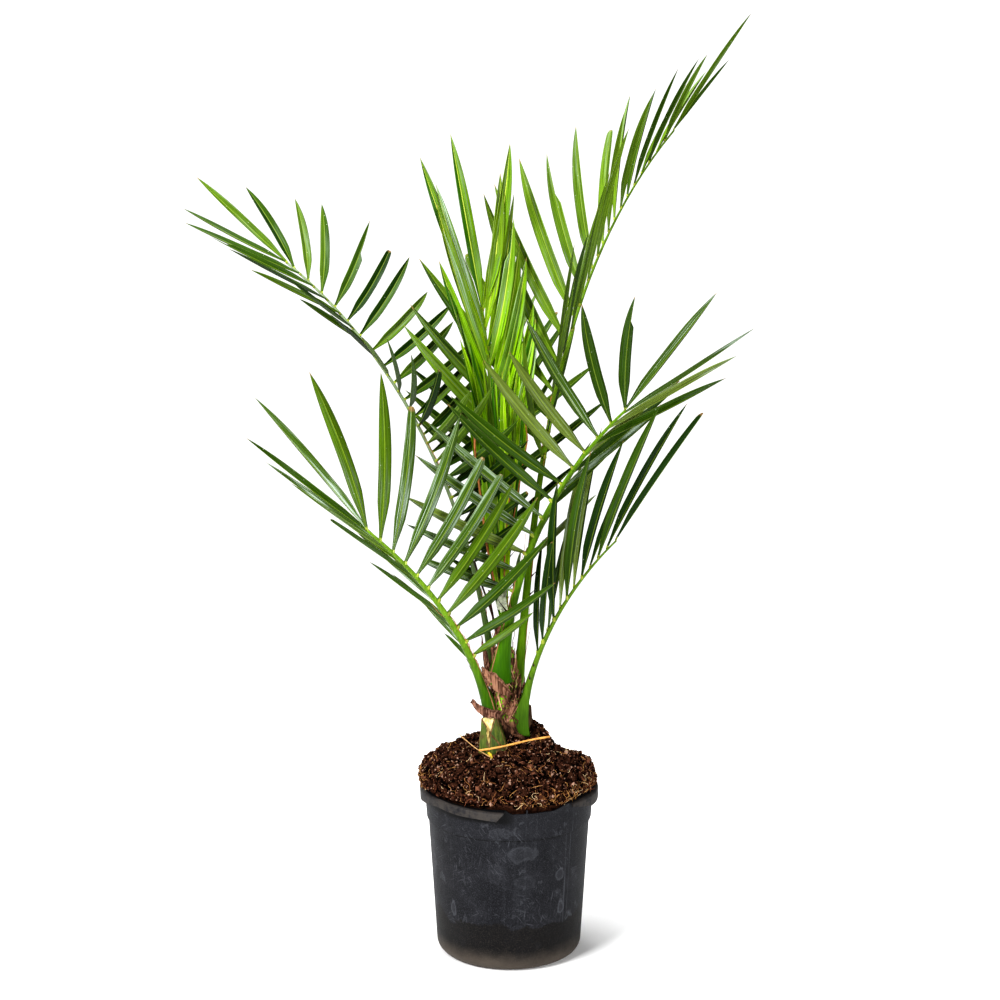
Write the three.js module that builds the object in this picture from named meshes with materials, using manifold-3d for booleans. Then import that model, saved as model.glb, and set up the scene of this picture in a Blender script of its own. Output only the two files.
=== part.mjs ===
// Young date palm standing in a round plastic nursery pot.
// A thin pot holds a heaped root ball of peat. A short fibrous stem stands on the peat and carries
// cut leaf bases, six feathered fronds and the upright spear of the newest leaf.
// Millimetres, +Z up, origin at the middle of the pot's underside, -Y is the side that faces the viewer.
import * as THREE from 'three';
import { mergeVertices } from 'three/addons/utils/BufferGeometryUtils.js';
import Module from 'manifold-3d';

const wasm = await Module();
wasm.setup();

// Clearance between solids that rest against each other.
const GAP = 0.3;

// The pot: a tapered wall with a rounded foot, a band stepped out under the rim, and a turned-down lip
// that has broken away over one stretch of the front.
const POT = {
  height: 145,
  wall: 1.6,
  floor: 2.4,
  baseRadius: 61,
  cornerRadius: 10,
  stepHeight: 118,
  stepRise: 0.8,
  bodyTopRadius: 67.7,
  bandRadius: 69.2,
  rimRadius: 71,
  lipRadius: 75,
  lipDrop: 10.5,
  lipThickness: 1.4,
  lipRound: 2,
  lipGap: { from: -91, to: -50 },
  drain: { count: 6, radius: 4.5, circle: 40 },
  sides: 44,
};

// The peat: fills the pot, bulges over the rim and rises past a brow and a crest to a level seat under
// the stem. swell and heave are how far its lumps stand out, as a share of the radius and upwards.
const SOIL = {
  rimRise: 6,
  neckRise: 1.2,
  bulgeRadius: 74.4,
  bulgeDepth: 5,
  shoulderHeight: 166,
  browRadius: 58,
  browHeight: 172,
  crestRadius: 42,
  crestHeight: 176,
  seatHeight: 180,
  seatRadius: 24,
  seatSlope: { out: 4, down: 1.5 },
  swell: [0.018, 0.012],
  heave: [1.5, 1.1],
  settle: 1,
};

// The stem: a short tapering stock that leans a little to the left.
const STEM = {
  top: 262,
  footRadius: 17,
  topRadius: 6.5,
  waistHeight: 236,
  waistRadius: 9.8,
  flare: 1.3,
  lean: { x: -4, y: 1 },
  sides: 16,
};

// Old leaf bases cut short against the stem: direction round the stem in degrees, size and slant of cut.
// All of them narrow and lean in towards the stem as they rise, and have spare height for the cut.
const STUB_FORM = { narrowing: 0.4, leanIn: 0.25, depthShare: 0.625, spare: 8 };
const STUBS = {
  stub_front: { heading: 246, width: 24, depth: 11, height: 27, cutTilt: 28 },
  stub_right: { heading: 18, width: 13, depth: 9, height: 24, cutTilt: -20 },
  stub_back: { heading: 135, width: 17, depth: 9, height: 22, cutTilt: 16 },
};

// Fronds. Angles are degrees, sizes millimetres, and pairs run from the foot to the tip of the rib.
// heading and swerve turn the rib round the stem, lean bends it away from upright, roll turns its
// upper side. bare is the share of the rib with no leaflets. spread is a leaflet's angle to the rib at
// foot, middle and tip, rise its angle above the rib's sides. leaf gives the first, longest and last
// length, otherLeaf the same for the row on the other side where it differs, peak where the longest
// stands, and lead the side with the leaflet nearest the tip. stalk is the half width at foot, above the
// foot and at the tip.
const FRONDS = {
  frond_front_left: {
    seed: 67, foot: [-15, -9, 204], heading: 204, swerve: -8.8, lean: [9, 48.9], bend: 0.72,
    length: 200.1, bare: 0.251, roll: [20.5, 42.8], spread: [77.1, 62.9, 29.5], rise: [27.7, 34.3],
    leaf: [55, 127, 140], peak: 0.3, pairs: 11, lead: -1, tipLeaf: 139, tipRise: 15.4,
    stalk: [7.2, 4.8, 1.3], leafWidth: 9.5, blunt: 0.35,
  },
  frond_front_right: {
    seed: 14, foot: [-6, -12, 236], heading: 331.6, swerve: -2.4, lean: [2.5, 47.5], bend: 0.97,
    length: 267.7, bare: 0.266, roll: [-14.9, -24.6], spread: [87.6, 70.4, 35.9], rise: [41.2, 15.7],
    leaf: [82, 123, 124], otherLeaf: [128, 157, 130], peak: 0.55, pairs: 12, lead: 1, tipLeaf: 120, tipRise: 10.3,
    stalk: [8.2, 5, 1.3], leafWidth: 9.5, blunt: 0.2,
  },
  frond_upper_left: {
    seed: 74, foot: [-12, 7, 232], heading: 167, swerve: -14.6, lean: [7.2, 56.8], bend: 1.29,
    length: 403.7, bare: 0.251, roll: [53.8, -17.7], spread: [75, 77, 16.2], rise: [51, 4.4],
    leaf: [54, 114, 100], peak: 0.26, pairs: 19, lead: -1, tipLeaf: 112, tipRise: 4.1,
    stalk: [5, 3.6, 1.2], leafWidth: 8, blunt: 0.15,
  },
  frond_upper_right: {
    seed: 63, foot: [8, 9, 232], heading: 20, swerve: -19.6, lean: [5.2, 39.8], bend: 2.35,
    length: 477.9, bare: 0.218, roll: [68.7, -18.7], spread: [65.1, 40.8, 15.8], rise: [46.2, 19],
    leaf: [126, 173, 78], peak: 0.06, pairs: 18, lead: -1, tipLeaf: 111, tipRise: 7.3,
    stalk: [5, 3.6, 1.2], leafWidth: 9.5, blunt: 0.06,
  },
  frond_low_right: {
    seed: 60, foot: [10, -13, 188], heading: 4, swerve: -2, lean: [-2.1, 45.7], bend: 0.77,
    length: 189.1, bare: 0.393, roll: [1, -13], spread: [32, 34, 24], rise: [41.4, 30],
    leaf: [100, 145, 150], peak: 0.6, pairs: 6, lead: 1, tipLeaf: 144, tipRise: 17.8,
    stalk: [8.6, 5, 1.3], leafWidth: 8.6, blunt: 0.12,
  },
  spear: {
    seed: 11, foot: [-4, 1, 261], heading: 133.8, swerve: 0.2, lean: [1, 10.6], bend: 1.24,
    length: 280.9, bare: 0.303, roll: [5.1, -20.4], spread: [10, 20, 14], rise: [31, 10],
    leaf: [135, 120, 140], peak: 0.49, pairs: 13, lead: 1, tipLeaf: 148, tipRise: -7.7,
    stalk: [5.4, 4, 1.2], leafWidth: 10, blunt: 0,
  },
  frond_back: {
    seed: 7, foot: [-4, 13, 226], heading: 88, swerve: 6, lean: [8, 52], bend: 1,
    length: 285, bare: 0.28, roll: [5, -5], spread: [68, 62, 25], rise: [42, 30],
    leaf: [60, 108, 100], peak: 0.45, pairs: 10, lead: 1, tipLeaf: 105, tipRise: 0,
    stalk: [5, 3.6, 1.2], leafWidth: 9, blunt: 0.1,
  },
};

// What all fronds share: the stalk's taper and section, and the build of one leaflet.
const STALK = { footFade: 22, flatness: 0.72, sides: 6, rings: 15 };
const RIB_STEPS = 60;
const LEAFLET = {
  usualLength: 120,
  thickness: 0.0115,
  fold: 0.34,
  arch: 0.05,
  twist: 14,
  spreadDrop: 2.5,
  spreadJitter: 3.5,
  riseJitter: 5,
  lengthJitter: 0.06,
  bluntShare: 0.9,
  stations: [0, 0.24, 0.76, 1],
  outline: [0.26, 1, 0.8, 0.05],
  rootShare: 0.7,
  bluntEnd: 0.46,
  tipDepth: 0.3,
};

// A leaflet that comes this near to another frond swings aside, or is left out where no swing clears it.
const CLEAR = { leaflet: 7.5, rib: 5.5, ribStride: 4, swings: [0, 6, -6, 12, -12, 18, -18] };

const FINISH = {
  pot: { color: '#26282b', roughness: 0.62 },
  soil: { color: '#2c1a12', roughness: 0.95 },
  stem: { color: '#6b4630', roughness: 0.9 },
  stub_front: { color: '#6f8f35', roughness: 0.6 },
  stub_right: { color: '#3d2a20', roughness: 0.85 },
  stub_back: { color: '#5a4029', roughness: 0.85 },
  frond_front_left: { color: '#3f6b2c', roughness: 0.42 },
  frond_front_right: { color: '#3c6a2a', roughness: 0.42 },
  frond_upper_left: { color: '#47713a', roughness: 0.45 },
  frond_upper_right: { color: '#4a7f2e', roughness: 0.42 },
  frond_low_right: { color: '#3e6f30', roughness: 0.45 },
  spear: { color: '#6aa62c', roughness: 0.4 },
  frond_back: { color: '#3a642b', roughness: 0.45 },
};

// Vertices nearer than this are one vertex.
const WELD = 1e-3;

// Solids and meshes

function outward(geometry) {
  const p = geometry.getAttribute('position');
  const index = geometry.getIndex().array;
  const [a, b, c] = [new THREE.Vector3(), new THREE.Vector3(), new THREE.Vector3()];
  let volume = 0;
  for (let i = 0; i < index.length; i += 3) {
    a.fromBufferAttribute(p, index[i]);
    b.fromBufferAttribute(p, index[i + 1]);
    c.fromBufferAttribute(p, index[i + 2]);
    volume += a.dot(b.cross(c));
  }
  if (volume < 0) {
    for (let i = 0; i < index.length; i += 3) {
      [index[i], index[i + 1]] = [index[i + 1], index[i]];
    }
  }
  return geometry;
}

function solidOf(geometry) {
  const bare = geometry.clone();
  bare.deleteAttribute('normal');
  bare.deleteAttribute('uv');
  const merged = outward(mergeVertices(bare, WELD));
  return new wasm.Manifold(new wasm.Mesh({
    numProp: 3,
    vertProperties: Float32Array.from(merged.getAttribute('position').array),
    triVerts: Uint32Array.from(merged.getIndex().array),
  }));
}

// The main body of a cut solid, with any loose scrap dropped.
function mainBody(solid) {
  return solid.decompose().reduce((best, piece) => (piece.volume() > best.volume() ? piece : best));
}

function meshOf(name, solid) {
  const { vertProperties, triVerts } = solid.getMesh();
  const geometry = new THREE.BufferGeometry();
  geometry.setAttribute('position', new THREE.BufferAttribute(vertProperties, 3));
  geometry.setIndex(new THREE.BufferAttribute(triVerts, 1));
  geometry.computeVertexNormals();
  const material = new THREE.MeshStandardMaterial({ ...FINISH[name], metalness: 0 });
  const mesh = new THREE.Mesh(geometry, material);
  mesh.name = name;
  return mesh;
}

// Moves every vertex of a geometry by a function of its place.
function reshape(geometry, move) {
  const p = geometry.getAttribute('position');
  const v = new THREE.Vector3();
  for (let i = 0; i < p.count; i += 1) {
    v.fromBufferAttribute(p, i);
    move(v);
    p.setXYZ(i, v.x, v.y, v.z);
  }
  return geometry;
}

function turned(outline, sides) {
  const points = outline.map(([r, z]) => new THREE.Vector2(r, z));
  return new THREE.LatheGeometry(points, sides).rotateX(Math.PI / 2);
}

const radians = THREE.MathUtils.degToRad;

// Pot

function footArc(radius, corner, lift) {
  const steps = 4;
  return Array.from({ length: steps + 1 }, (_, i) => {
    const a = (i / steps) * (Math.PI / 2);
    return [radius - corner + corner * Math.sin(a), lift + corner - corner * Math.cos(a)];
  });
}

// The inner face from the rim down to the floor, set in from the wall by the given clearance.
function innerFace(clearance) {
  const inset = POT.wall + clearance;
  return [
    [POT.rimRadius - inset, POT.height],
    [POT.bandRadius - inset, POT.stepHeight + POT.stepRise],
    [POT.bodyTopRadius - inset, POT.stepHeight - POT.stepRise],
    ...footArc(POT.baseRadius - inset, POT.cornerRadius - POT.wall, POT.floor + clearance).reverse(),
  ];
}

function pot() {
  const lipInside = POT.lipRadius - POT.lipThickness;
  const outline = [
    [0, 0],
    ...footArc(POT.baseRadius, POT.cornerRadius, 0),
    [POT.bodyTopRadius, POT.stepHeight - POT.stepRise],
    [POT.bandRadius, POT.stepHeight],
    [POT.rimRadius, POT.height - POT.lipThickness],
    [lipInside, POT.height - POT.lipThickness],
    [lipInside, POT.height - POT.lipDrop],
    [POT.lipRadius, POT.height - POT.lipDrop],
    [POT.lipRadius, POT.height - POT.lipRound],
    [POT.lipRadius - POT.lipRound, POT.height],
    ...innerFace(0),
    [0, POT.floor],
  ];
  let body = solidOf(turned(outline, POT.sides));

  const brokenLip = new THREE.Shape();
  const [from, to] = [radians(POT.lipGap.from), radians(POT.lipGap.to)];
  brokenLip.absarc(0, 0, POT.lipRadius + POT.lipThickness, from, to, false);
  brokenLip.absarc(0, 0, POT.rimRadius + GAP, to, from, true);
  const lipPiece = new THREE.ExtrudeGeometry(brokenLip, {
    depth: POT.lipDrop * 2, bevelEnabled: false, curveSegments: 12,
  });
  lipPiece.translate(0, 0, POT.height - POT.lipDrop * 1.5);
  body = body.subtract(solidOf(lipPiece));

  for (let i = 0; i < POT.drain.count; i += 1) {
    const a = (i / POT.drain.count) * Math.PI * 2;
    const hole = new THREE.CylinderGeometry(POT.drain.radius, POT.drain.radius, POT.floor * 4, 8);
    hole.rotateX(Math.PI / 2);
    hole.translate(POT.drain.circle * Math.cos(a), POT.drain.circle * Math.sin(a), 0);
    body = body.subtract(solidOf(hole));
  }
  return body;
}

// Peat

function soil() {
  const wallSide = innerFace(GAP).reverse();
  const overRim = POT.height + SOIL.rimRise;
  const outline = [
    [0, POT.floor + GAP],
    ...wallSide,
    [POT.rimRadius - POT.wall - GAP, POT.height + SOIL.neckRise],
    [SOIL.bulgeRadius, overRim],
    [SOIL.bulgeRadius - 1, overRim + SOIL.bulgeDepth],
    [SOIL.bulgeRadius - SOIL.bulgeDepth, SOIL.shoulderHeight],
    [SOIL.browRadius, SOIL.browHeight],
    [SOIL.crestRadius, SOIL.crestHeight],
    [SOIL.seatRadius + SOIL.seatSlope.out, SOIL.seatHeight - SOIL.seatSlope.down],
    [SOIL.seatRadius, SOIL.seatHeight],
    [0, SOIL.seatHeight],
  ];
  const [broad, fine] = SOIL.swell;
  const [high, low] = SOIL.heave;
  const heap = reshape(turned(outline, POT.sides), (v) => {
    const r = Math.hypot(v.x, v.y);
    if (v.z < overRim - SOIL.settle || r < SOIL.seatRadius + SOIL.settle) {
      return;
    }
    const a = Math.atan2(v.y, v.x);
    const swell = 1 + broad * Math.sin(3 * a - 1.2) + fine * Math.sin(7 * a + 2);
    v.x *= swell;
    v.y *= swell;
    v.z += high * Math.sin(5 * a + r * 0.12) + low * Math.sin(8 * a - r * 0.09) - SOIL.settle;
  });
  return solidOf(heap);
}

// Stem

function stemRadius(z) {
  const foot = SOIL.seatHeight;
  if (z < STEM.waistHeight) {
    const u = (z - foot) / (STEM.waistHeight - foot);
    return STEM.footRadius + (STEM.waistRadius - STEM.footRadius) * u ** STEM.flare;
  }
  const u = (z - STEM.waistHeight) / (STEM.top - STEM.waistHeight);
  return STEM.waistRadius + (STEM.topRadius - STEM.waistRadius) * u;
}

function stemAxis(z) {
  const u = (z - SOIL.seatHeight) / (STEM.top - SOIL.seatHeight);
  return [STEM.lean.x * u, STEM.lean.y * u];
}

// The stem's solid, or with grow its space with that much clearance all round.
function stem(grow = 0) {
  const foot = SOIL.seatHeight + GAP;
  const rings = 6;
  const outline = [[0, foot - grow]];
  for (let i = 0; i <= rings; i += 1) {
    const z = foot + ((STEM.top - foot) * i) / rings;
    const end = (i === rings ? grow : 0) - (i === 0 ? grow : 0);
    outline.push([stemRadius(z) + grow, z + end]);
  }
  outline.push([0, STEM.top + grow]);
  return solidOf(reshape(turned(outline, STEM.sides), (v) => {
    const [x, y] = stemAxis(v.z);
    v.x += x;
    v.y += y;
  }));
}

// Frond rule

// A repeatable number from 0 to 1 for each whole number k.
function chance(k) {
  const v = Math.sin(k * 12.9898 + 78.233) * 43758.5453;
  return v - Math.floor(v);
}

function jitter(k, amount) {
  return (2 * chance(k) - 1) * amount;
}

function between([first, last], u) {
  return first + (last - first) * u;
}

// Even change from foot to middle, then a drop that quickens towards the tip.
function spreadAt([foot, middle, tip], u) {
  if (u < 0.5) {
    return foot + (middle - foot) * 2 * u;
  }
  return middle + (tip - middle) * (2 * u - 1) ** LEAFLET.spreadDrop;
}

function leafLengthAt(frond, u, side) {
  const [first, longest, last] = (side < 0 && frond.otherLeaf) || frond.leaf;
  if (u < frond.peak) {
    return first + (longest - first) * Math.sin((u / frond.peak) * (Math.PI / 2));
  }
  return last + (longest - last) * Math.cos(((u - frond.peak) / (1 - frond.peak)) * (Math.PI / 2));
}

// The rib's own directions at share s of its length: along it, out of its upper face, and to its side.
function ribFrame(frond, s) {
  const lean = radians(between(frond.lean, s ** frond.bend));
  const heading = radians(frond.heading + frond.swerve * s);
  const roll = radians(between(frond.roll, s));
  const [sl, cl, sh, ch] = [Math.sin(lean), Math.cos(lean), Math.sin(heading), Math.cos(heading)];
  const along = new THREE.Vector3(sl * ch, sl * sh, cl);
  const upright = new THREE.Vector3(-cl * ch, -cl * sh, sl);
  const across = new THREE.Vector3().crossVectors(along, upright);
  const upper = upright.multiplyScalar(Math.cos(roll)).addScaledVector(across, Math.sin(roll));
  return { along, upper, side: new THREE.Vector3().crossVectors(along, upper) };
}

function ribPoints(frond) {
  const points = [new THREE.Vector3(...frond.foot)];
  for (let i = 0; i < RIB_STEPS; i += 1) {
    const { along } = ribFrame(frond, (i + 0.5) / RIB_STEPS);
    points.push(points[i].clone().addScaledVector(along, frond.length / RIB_STEPS));
  }
  return points;
}

function pointOn(points, s) {
  const x = s * RIB_STEPS;
  const i = Math.min(Math.floor(x), RIB_STEPS - 1);
  return points[i].clone().lerp(points[i + 1], x - i);
}

function stalkHalfWidth(frond, s) {
  const [foot, above, tip] = frond.stalk;
  return tip + (above - tip) * (1 - s) + (foot - above) * Math.exp((-s * frond.length) / STALK.footFade);
}

// Where every leaflet of a frond would stand: its share along the leafy part, its side and its number.
function leafletPlan(frond) {
  const plan = [];
  for (let i = 0; i < frond.pairs; i += 1) {
    for (const side of [1, -1]) {
      const u = (i + (side === frond.lead ? 0.5 : 0)) / (frond.pairs - 0.5);
      plan.push({ u, side, k: 1000 * frond.seed + 20 * i + (side > 0 ? 10 : 0) });
    }
  }
  plan.push({ u: 1, side: 0, k: 1000 * frond.seed + 900 });
  return plan;
}

// The angles to the rib and above its sides, and the length, of one leaflet. The last one ends the rib.
function leafletSize(frond, { u, side, k }, swing) {
  if (side === 0) {
    return { spread: radians(frond.tipRise), rise: Math.PI / 2, whole: frond.tipLeaf };
  }
  const spread = spreadAt(frond.spread, u) + jitter(k + 1, LEAFLET.spreadJitter);
  const rise = between(frond.rise, u) + jitter(k + 2, LEAFLET.riseJitter) + swing;
  const whole = leafLengthAt(frond, u, side) * (1 + jitter(k + 3, LEAFLET.lengthJitter));
  return { spread: radians(spread), rise: radians(rise), whole };
}

// The vector a cos(angle) + b sin(angle).
function turnedFrom(a, b, angle) {
  return a.clone().multiplyScalar(Math.cos(angle)).addScaledVector(b, Math.sin(angle));
}

// One leaflet's line and blade directions, swung by the given angle.
function leaflet(frond, points, place, swing) {
  const { u, side, k } = place;
  const s = frond.bare + (1 - frond.bare) * u;
  const { along, upper, side: across } = ribFrame(frond, s);
  const { spread, rise, whole } = leafletSize(frond, place, swing);
  const base = pointOn(points, s);
  const aside = turnedFrom(across.clone().multiplyScalar(side), upper, rise);
  const run = turnedFrom(along, aside, spread).normalize();
  const blunt = chance(k + 5) < frond.blunt;
  const length = blunt ? whole * LEAFLET.bluntShare : whole;
  const reference = side === 0 ? across : along;
  const wide = reference.clone().addScaledVector(run, -reference.dot(run)).normalize();
  const face = new THREE.Vector3().crossVectors(run, wide);
  if (face.dot(upper) < 0) {
    face.negate();
  }
  const arch = side === 0 ? 0 : LEAFLET.arch * length;
  const tip = base.clone().addScaledVector(run, length);
  const middle = base.clone().addScaledVector(run, length / 2).addScaledVector(wide, -arch / 2);
  return { base, middle, tip, run, wide, face, length, blunt, arch, s, k };
}

// The shortest distance between two straight stretches, p1 to q1 and p2 to q2.
function segmentGap(p1, q1, p2, q2) {
  const d1 = q1.clone().sub(p1);
  const d2 = q2.clone().sub(p2);
  const r = p1.clone().sub(p2);
  const [a, b, c, e, f] = [d1.dot(d1), d1.dot(d2), d1.dot(r), d2.dot(d2), d2.dot(r)];
  const clamp = (x) => Math.min(Math.max(x, 0), 1);
  const slant = a * e - b * b;
  let s = slant > Number.EPSILON ? clamp((b * f - c * e) / slant) : 0;
  let t = (b * s + f) / e;
  if (t < 0) {
    t = 0;
    s = clamp(-c / a);
  } else if (t > 1) {
    t = 1;
    s = clamp((b - c) / a);
  }
  return p1.clone().addScaledVector(d1, s).distanceTo(p2.clone().addScaledVector(d2, t));
}

function isClear(leaf, name, ribs, grown) {
  const halves = [[leaf.base, leaf.middle], [leaf.middle, leaf.tip]];
  for (const other of Object.keys(FRONDS).filter((key) => key !== name)) {
    for (let j = 0; j < RIB_STEPS; j += CLEAR.ribStride) {
      const [p, q] = [ribs[other][j], ribs[other][j + CLEAR.ribStride]];
      const room = CLEAR.rib + stalkHalfWidth(FRONDS[other], j / RIB_STEPS);
      if (halves.some(([a, b]) => segmentGap(a, b, p, q) < room)) {
        return false;
      }
    }
    for (const o of grown[other]) {
      const lines = [[o.base, o.middle], [o.middle, o.tip]];
      if (halves.some(([a, b]) => lines.some(([p, q]) => segmentGap(a, b, p, q) < CLEAR.leaflet))) {
        return false;
      }
    }
  }
  return true;
}

// Every frond's leaflets, each swung clear of the other fronds or left out.
function growAll(ribs) {
  const grown = Object.fromEntries(Object.keys(FRONDS).map((name) => [name, []]));
  for (const [name, frond] of Object.entries(FRONDS)) {
    for (const place of leafletPlan(frond)) {
      for (const swing of CLEAR.swings) {
        const leaf = leaflet(frond, ribs[name], place, swing);
        if (isClear(leaf, name, ribs, grown)) {
          grown[name].push(leaf);
          break;
        }
      }
    }
  }
  return grown;
}

// Frond solids

// The rib with its stalk and widened foot, or with grow its space with that much clearance.
function stalk(frond, points, grow = 0) {
  const rod = new THREE.CylinderGeometry(1, 1, 1, STALK.sides, STALK.rings);
  return solidOf(reshape(rod, (v) => {
    const s = v.y + 0.5;
    const { along, upper, side } = ribFrame(frond, s);
    const wide = stalkHalfWidth(frond, s);
    const deep = wide * STALK.flatness;
    const at = pointOn(points, s).addScaledVector(along, s === 0 ? -grow : 0);
    at.addScaledVector(side, v.x * (wide + grow));
    at.addScaledVector(upper, v.z * (deep + grow));
    v.copy(at);
  }));
}

// A folded lance-shaped blade: its edges stand above the fold, and its root is sunk in the rib.
function blade(frond, leaf) {
  const { stations, outline, bluntEnd } = LEAFLET;
  const rows = stations.length - 1;
  const halfWidth = (frond.leafWidth / 2) * Math.sqrt(leaf.length / LEAFLET.usualLength);
  const rootWidth = Math.min(outline[0] * halfWidth, stalkHalfWidth(frond, leaf.s) * LEAFLET.rootShare);
  const turn = radians(jitter(leaf.k + 4, LEAFLET.twist));
  const wide = turnedFrom(leaf.wide, leaf.face, turn);
  const face = turnedFrom(leaf.face, leaf.wide, -turn);
  const strip = new THREE.CylinderGeometry(1, 1, 1, 4, rows);
  return solidOf(reshape(strip, (v) => {
    const row = Math.round((v.y + 0.5) * rows);
    const u = stations[row];
    const end = leaf.blunt ? bluntEnd : outline[rows];
    const reach = row === 0 ? rootWidth : halfWidth * (row === rows ? end : outline[row]);
    const thinning = row === rows ? Math.max(end, LEAFLET.tipDepth) : 1;
    const deep = (leaf.length * LEAFLET.thickness * thinning) / 2;
    const at = leaf.base.clone().addScaledVector(leaf.run, leaf.length * u);
    at.addScaledVector(leaf.wide, -leaf.arch * 2 * u * (1 - u));
    at.addScaledVector(wide, v.x * reach);
    at.addScaledVector(face, Math.abs(v.x) * reach * LEAFLET.fold + v.z * Math.min(deep, reach));
    v.copy(at);
  }));
}

function frondSolid(frond, points, leaves, stemSpace) {
  const whole = leaves.reduce((solid, leaf) => solid.add(blade(frond, leaf)), stalk(frond, points));
  return mainBody(whole.subtract(stemSpace));
}

// Cut leaf bases: a half-round wedge against the stem, cut off slantwise at its top.
function stub({ heading, width, depth, height, cutTilt }, stemSpace, neighbours) {
  const foot = SOIL.seatHeight + GAP;
  const a = radians(heading);
  const outwards = new THREE.Vector3(Math.cos(a), Math.sin(a), 0);
  const sideways = new THREE.Vector3(-Math.sin(a), Math.cos(a), 0);
  const stump = new THREE.CylinderGeometry(1, 1, 1, 10, 3);
  const wedge = solidOf(reshape(stump, (v) => {
    const u = v.y + 0.5;
    const z = foot + u * (height + STUB_FORM.spare);
    const [x, y] = stemAxis(z);
    const narrow = 1 - STUB_FORM.narrowing * u;
    const out = stemRadius(foot) * (1 - STUB_FORM.leanIn * u) + v.z * depth * narrow * STUB_FORM.depthShare;
    const along = (v.x * width * narrow) / 2;
    v.set(x, y, z).addScaledVector(outwards, out).addScaledVector(sideways, along);
  }));
  const block = new THREE.BoxGeometry(width * 3, depth * 6, height);
  block.rotateY(radians(cutTilt)).rotateZ(a + Math.PI / 2);
  block.translate(outwards.x * STEM.footRadius, outwards.y * STEM.footRadius, foot + height * 1.5);
  const cut = neighbours.reduce((solid, space) => solid.subtract(space), wedge.subtract(solidOf(block)));
  return mainBody(cut.subtract(stemSpace));
}

// Assembly

const palm = new THREE.Group();
const ribs = Object.fromEntries(Object.entries(FRONDS).map(([name, frond]) => [name, ribPoints(frond)]));
const leaves = growAll(ribs);
const stemSpace = stem(GAP);
const stalkSpaces = Object.entries(FRONDS).map(([name, frond]) => stalk(frond, ribs[name], GAP));

palm.add(meshOf('pot', pot()));
palm.add(meshOf('soil', soil()));
palm.add(meshOf('stem', stem()));
for (const [name, shape] of Object.entries(STUBS)) {
  palm.add(meshOf(name, stub(shape, stemSpace, stalkSpaces)));
}
for (const [name, frond] of Object.entries(FRONDS)) {
  palm.add(meshOf(name, frondSolid(frond, ribs[name], leaves[name], stemSpace)));
}

export default palm;
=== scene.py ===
import math

import bmesh
import bpy
import numpy as np
from mathutils import Matrix, Vector, noise


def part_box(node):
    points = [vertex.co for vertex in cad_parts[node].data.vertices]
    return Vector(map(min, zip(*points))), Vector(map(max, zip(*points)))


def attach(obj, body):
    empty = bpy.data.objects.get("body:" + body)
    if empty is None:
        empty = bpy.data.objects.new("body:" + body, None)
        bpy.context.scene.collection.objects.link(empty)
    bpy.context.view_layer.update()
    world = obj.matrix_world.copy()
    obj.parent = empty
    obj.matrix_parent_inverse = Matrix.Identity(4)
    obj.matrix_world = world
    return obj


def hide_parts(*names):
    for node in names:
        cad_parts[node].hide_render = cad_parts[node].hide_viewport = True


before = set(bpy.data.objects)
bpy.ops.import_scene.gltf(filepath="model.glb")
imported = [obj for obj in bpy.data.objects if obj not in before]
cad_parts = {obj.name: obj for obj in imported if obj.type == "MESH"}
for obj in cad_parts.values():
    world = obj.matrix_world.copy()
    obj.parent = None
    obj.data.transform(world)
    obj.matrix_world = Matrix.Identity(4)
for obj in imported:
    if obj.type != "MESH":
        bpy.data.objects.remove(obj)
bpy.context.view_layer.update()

scene = bpy.context.scene

# Studio: a pale floor under a white surround, lit by large soft boxes, as for a catalogue picture.
# The camera stands level with the top of the crown and looks a little down, through a long lens.
FLOOR_HALF = 0.75
FLOOR_COLOUR = (0.93, 0.93, 0.93, 1)
AIM = Vector((0, 0, 0.40))
SOFT_BOXES = {
    "left_box": ((-1.4, -1.5, 1.6), 0.8, 80),
    "right_box": ((1.1, -2.0, 0.9), 1.0, 44),
    "top_box": ((-0.2, 0.1, 2.3), 0.9, 62),
    "back_box": ((-0.9, 2.0, 1.1), 1.2, 14),
}
SURROUND_LIGHT = 0.08
CAMERA_SPOT = (-0.0075, -1.8, 0.74)
CAMERA_PITCH = 11.1
SENSOR = 36.0
LENS = 80.5


def soft_box(name, spot, size, power):
    lamp = bpy.data.lights.new(name, "AREA")
    lamp.shape = "SQUARE"
    lamp.size = size
    lamp.energy = power
    box = bpy.data.objects.new(name, lamp)
    box.location = spot
    box.rotation_euler = (AIM - Vector(spot)).to_track_quat("-Z", "Y").to_euler()
    scene.collection.objects.link(box)


for box_name, (spot, size, power) in SOFT_BOXES.items():
    soft_box(box_name, spot, size, power)

surround = bpy.data.worlds.new("surround")
surround.use_nodes = True
sky = surround.node_tree
seen = sky.nodes.new("ShaderNodeLightPath")
strength = sky.nodes.new("ShaderNodeMapRange")
strength.inputs["To Min"].default_value = SURROUND_LIGHT
strength.inputs["To Max"].default_value = 1.0
sky.links.new(seen.outputs["Is Camera Ray"], strength.inputs["Value"])
sky.links.new(strength.outputs["Result"], sky.nodes["Background"].inputs["Strength"])
sky.nodes["Background"].inputs["Color"].default_value = (1, 1, 1, 1)
scene.world = surround
scene.view_settings.view_transform = "Standard"
scene.view_settings.look = "Medium High Contrast"

camera = bpy.data.cameras.new("camera")
camera.sensor_width = SENSOR
camera.lens = LENS
viewpoint = bpy.data.objects.new("camera", camera)
viewpoint.location = CAMERA_SPOT
viewpoint.rotation_euler = (math.radians(90 - CAMERA_PITCH), 0, 0)
scene.collection.objects.link(viewpoint)
scene.camera = viewpoint

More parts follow.
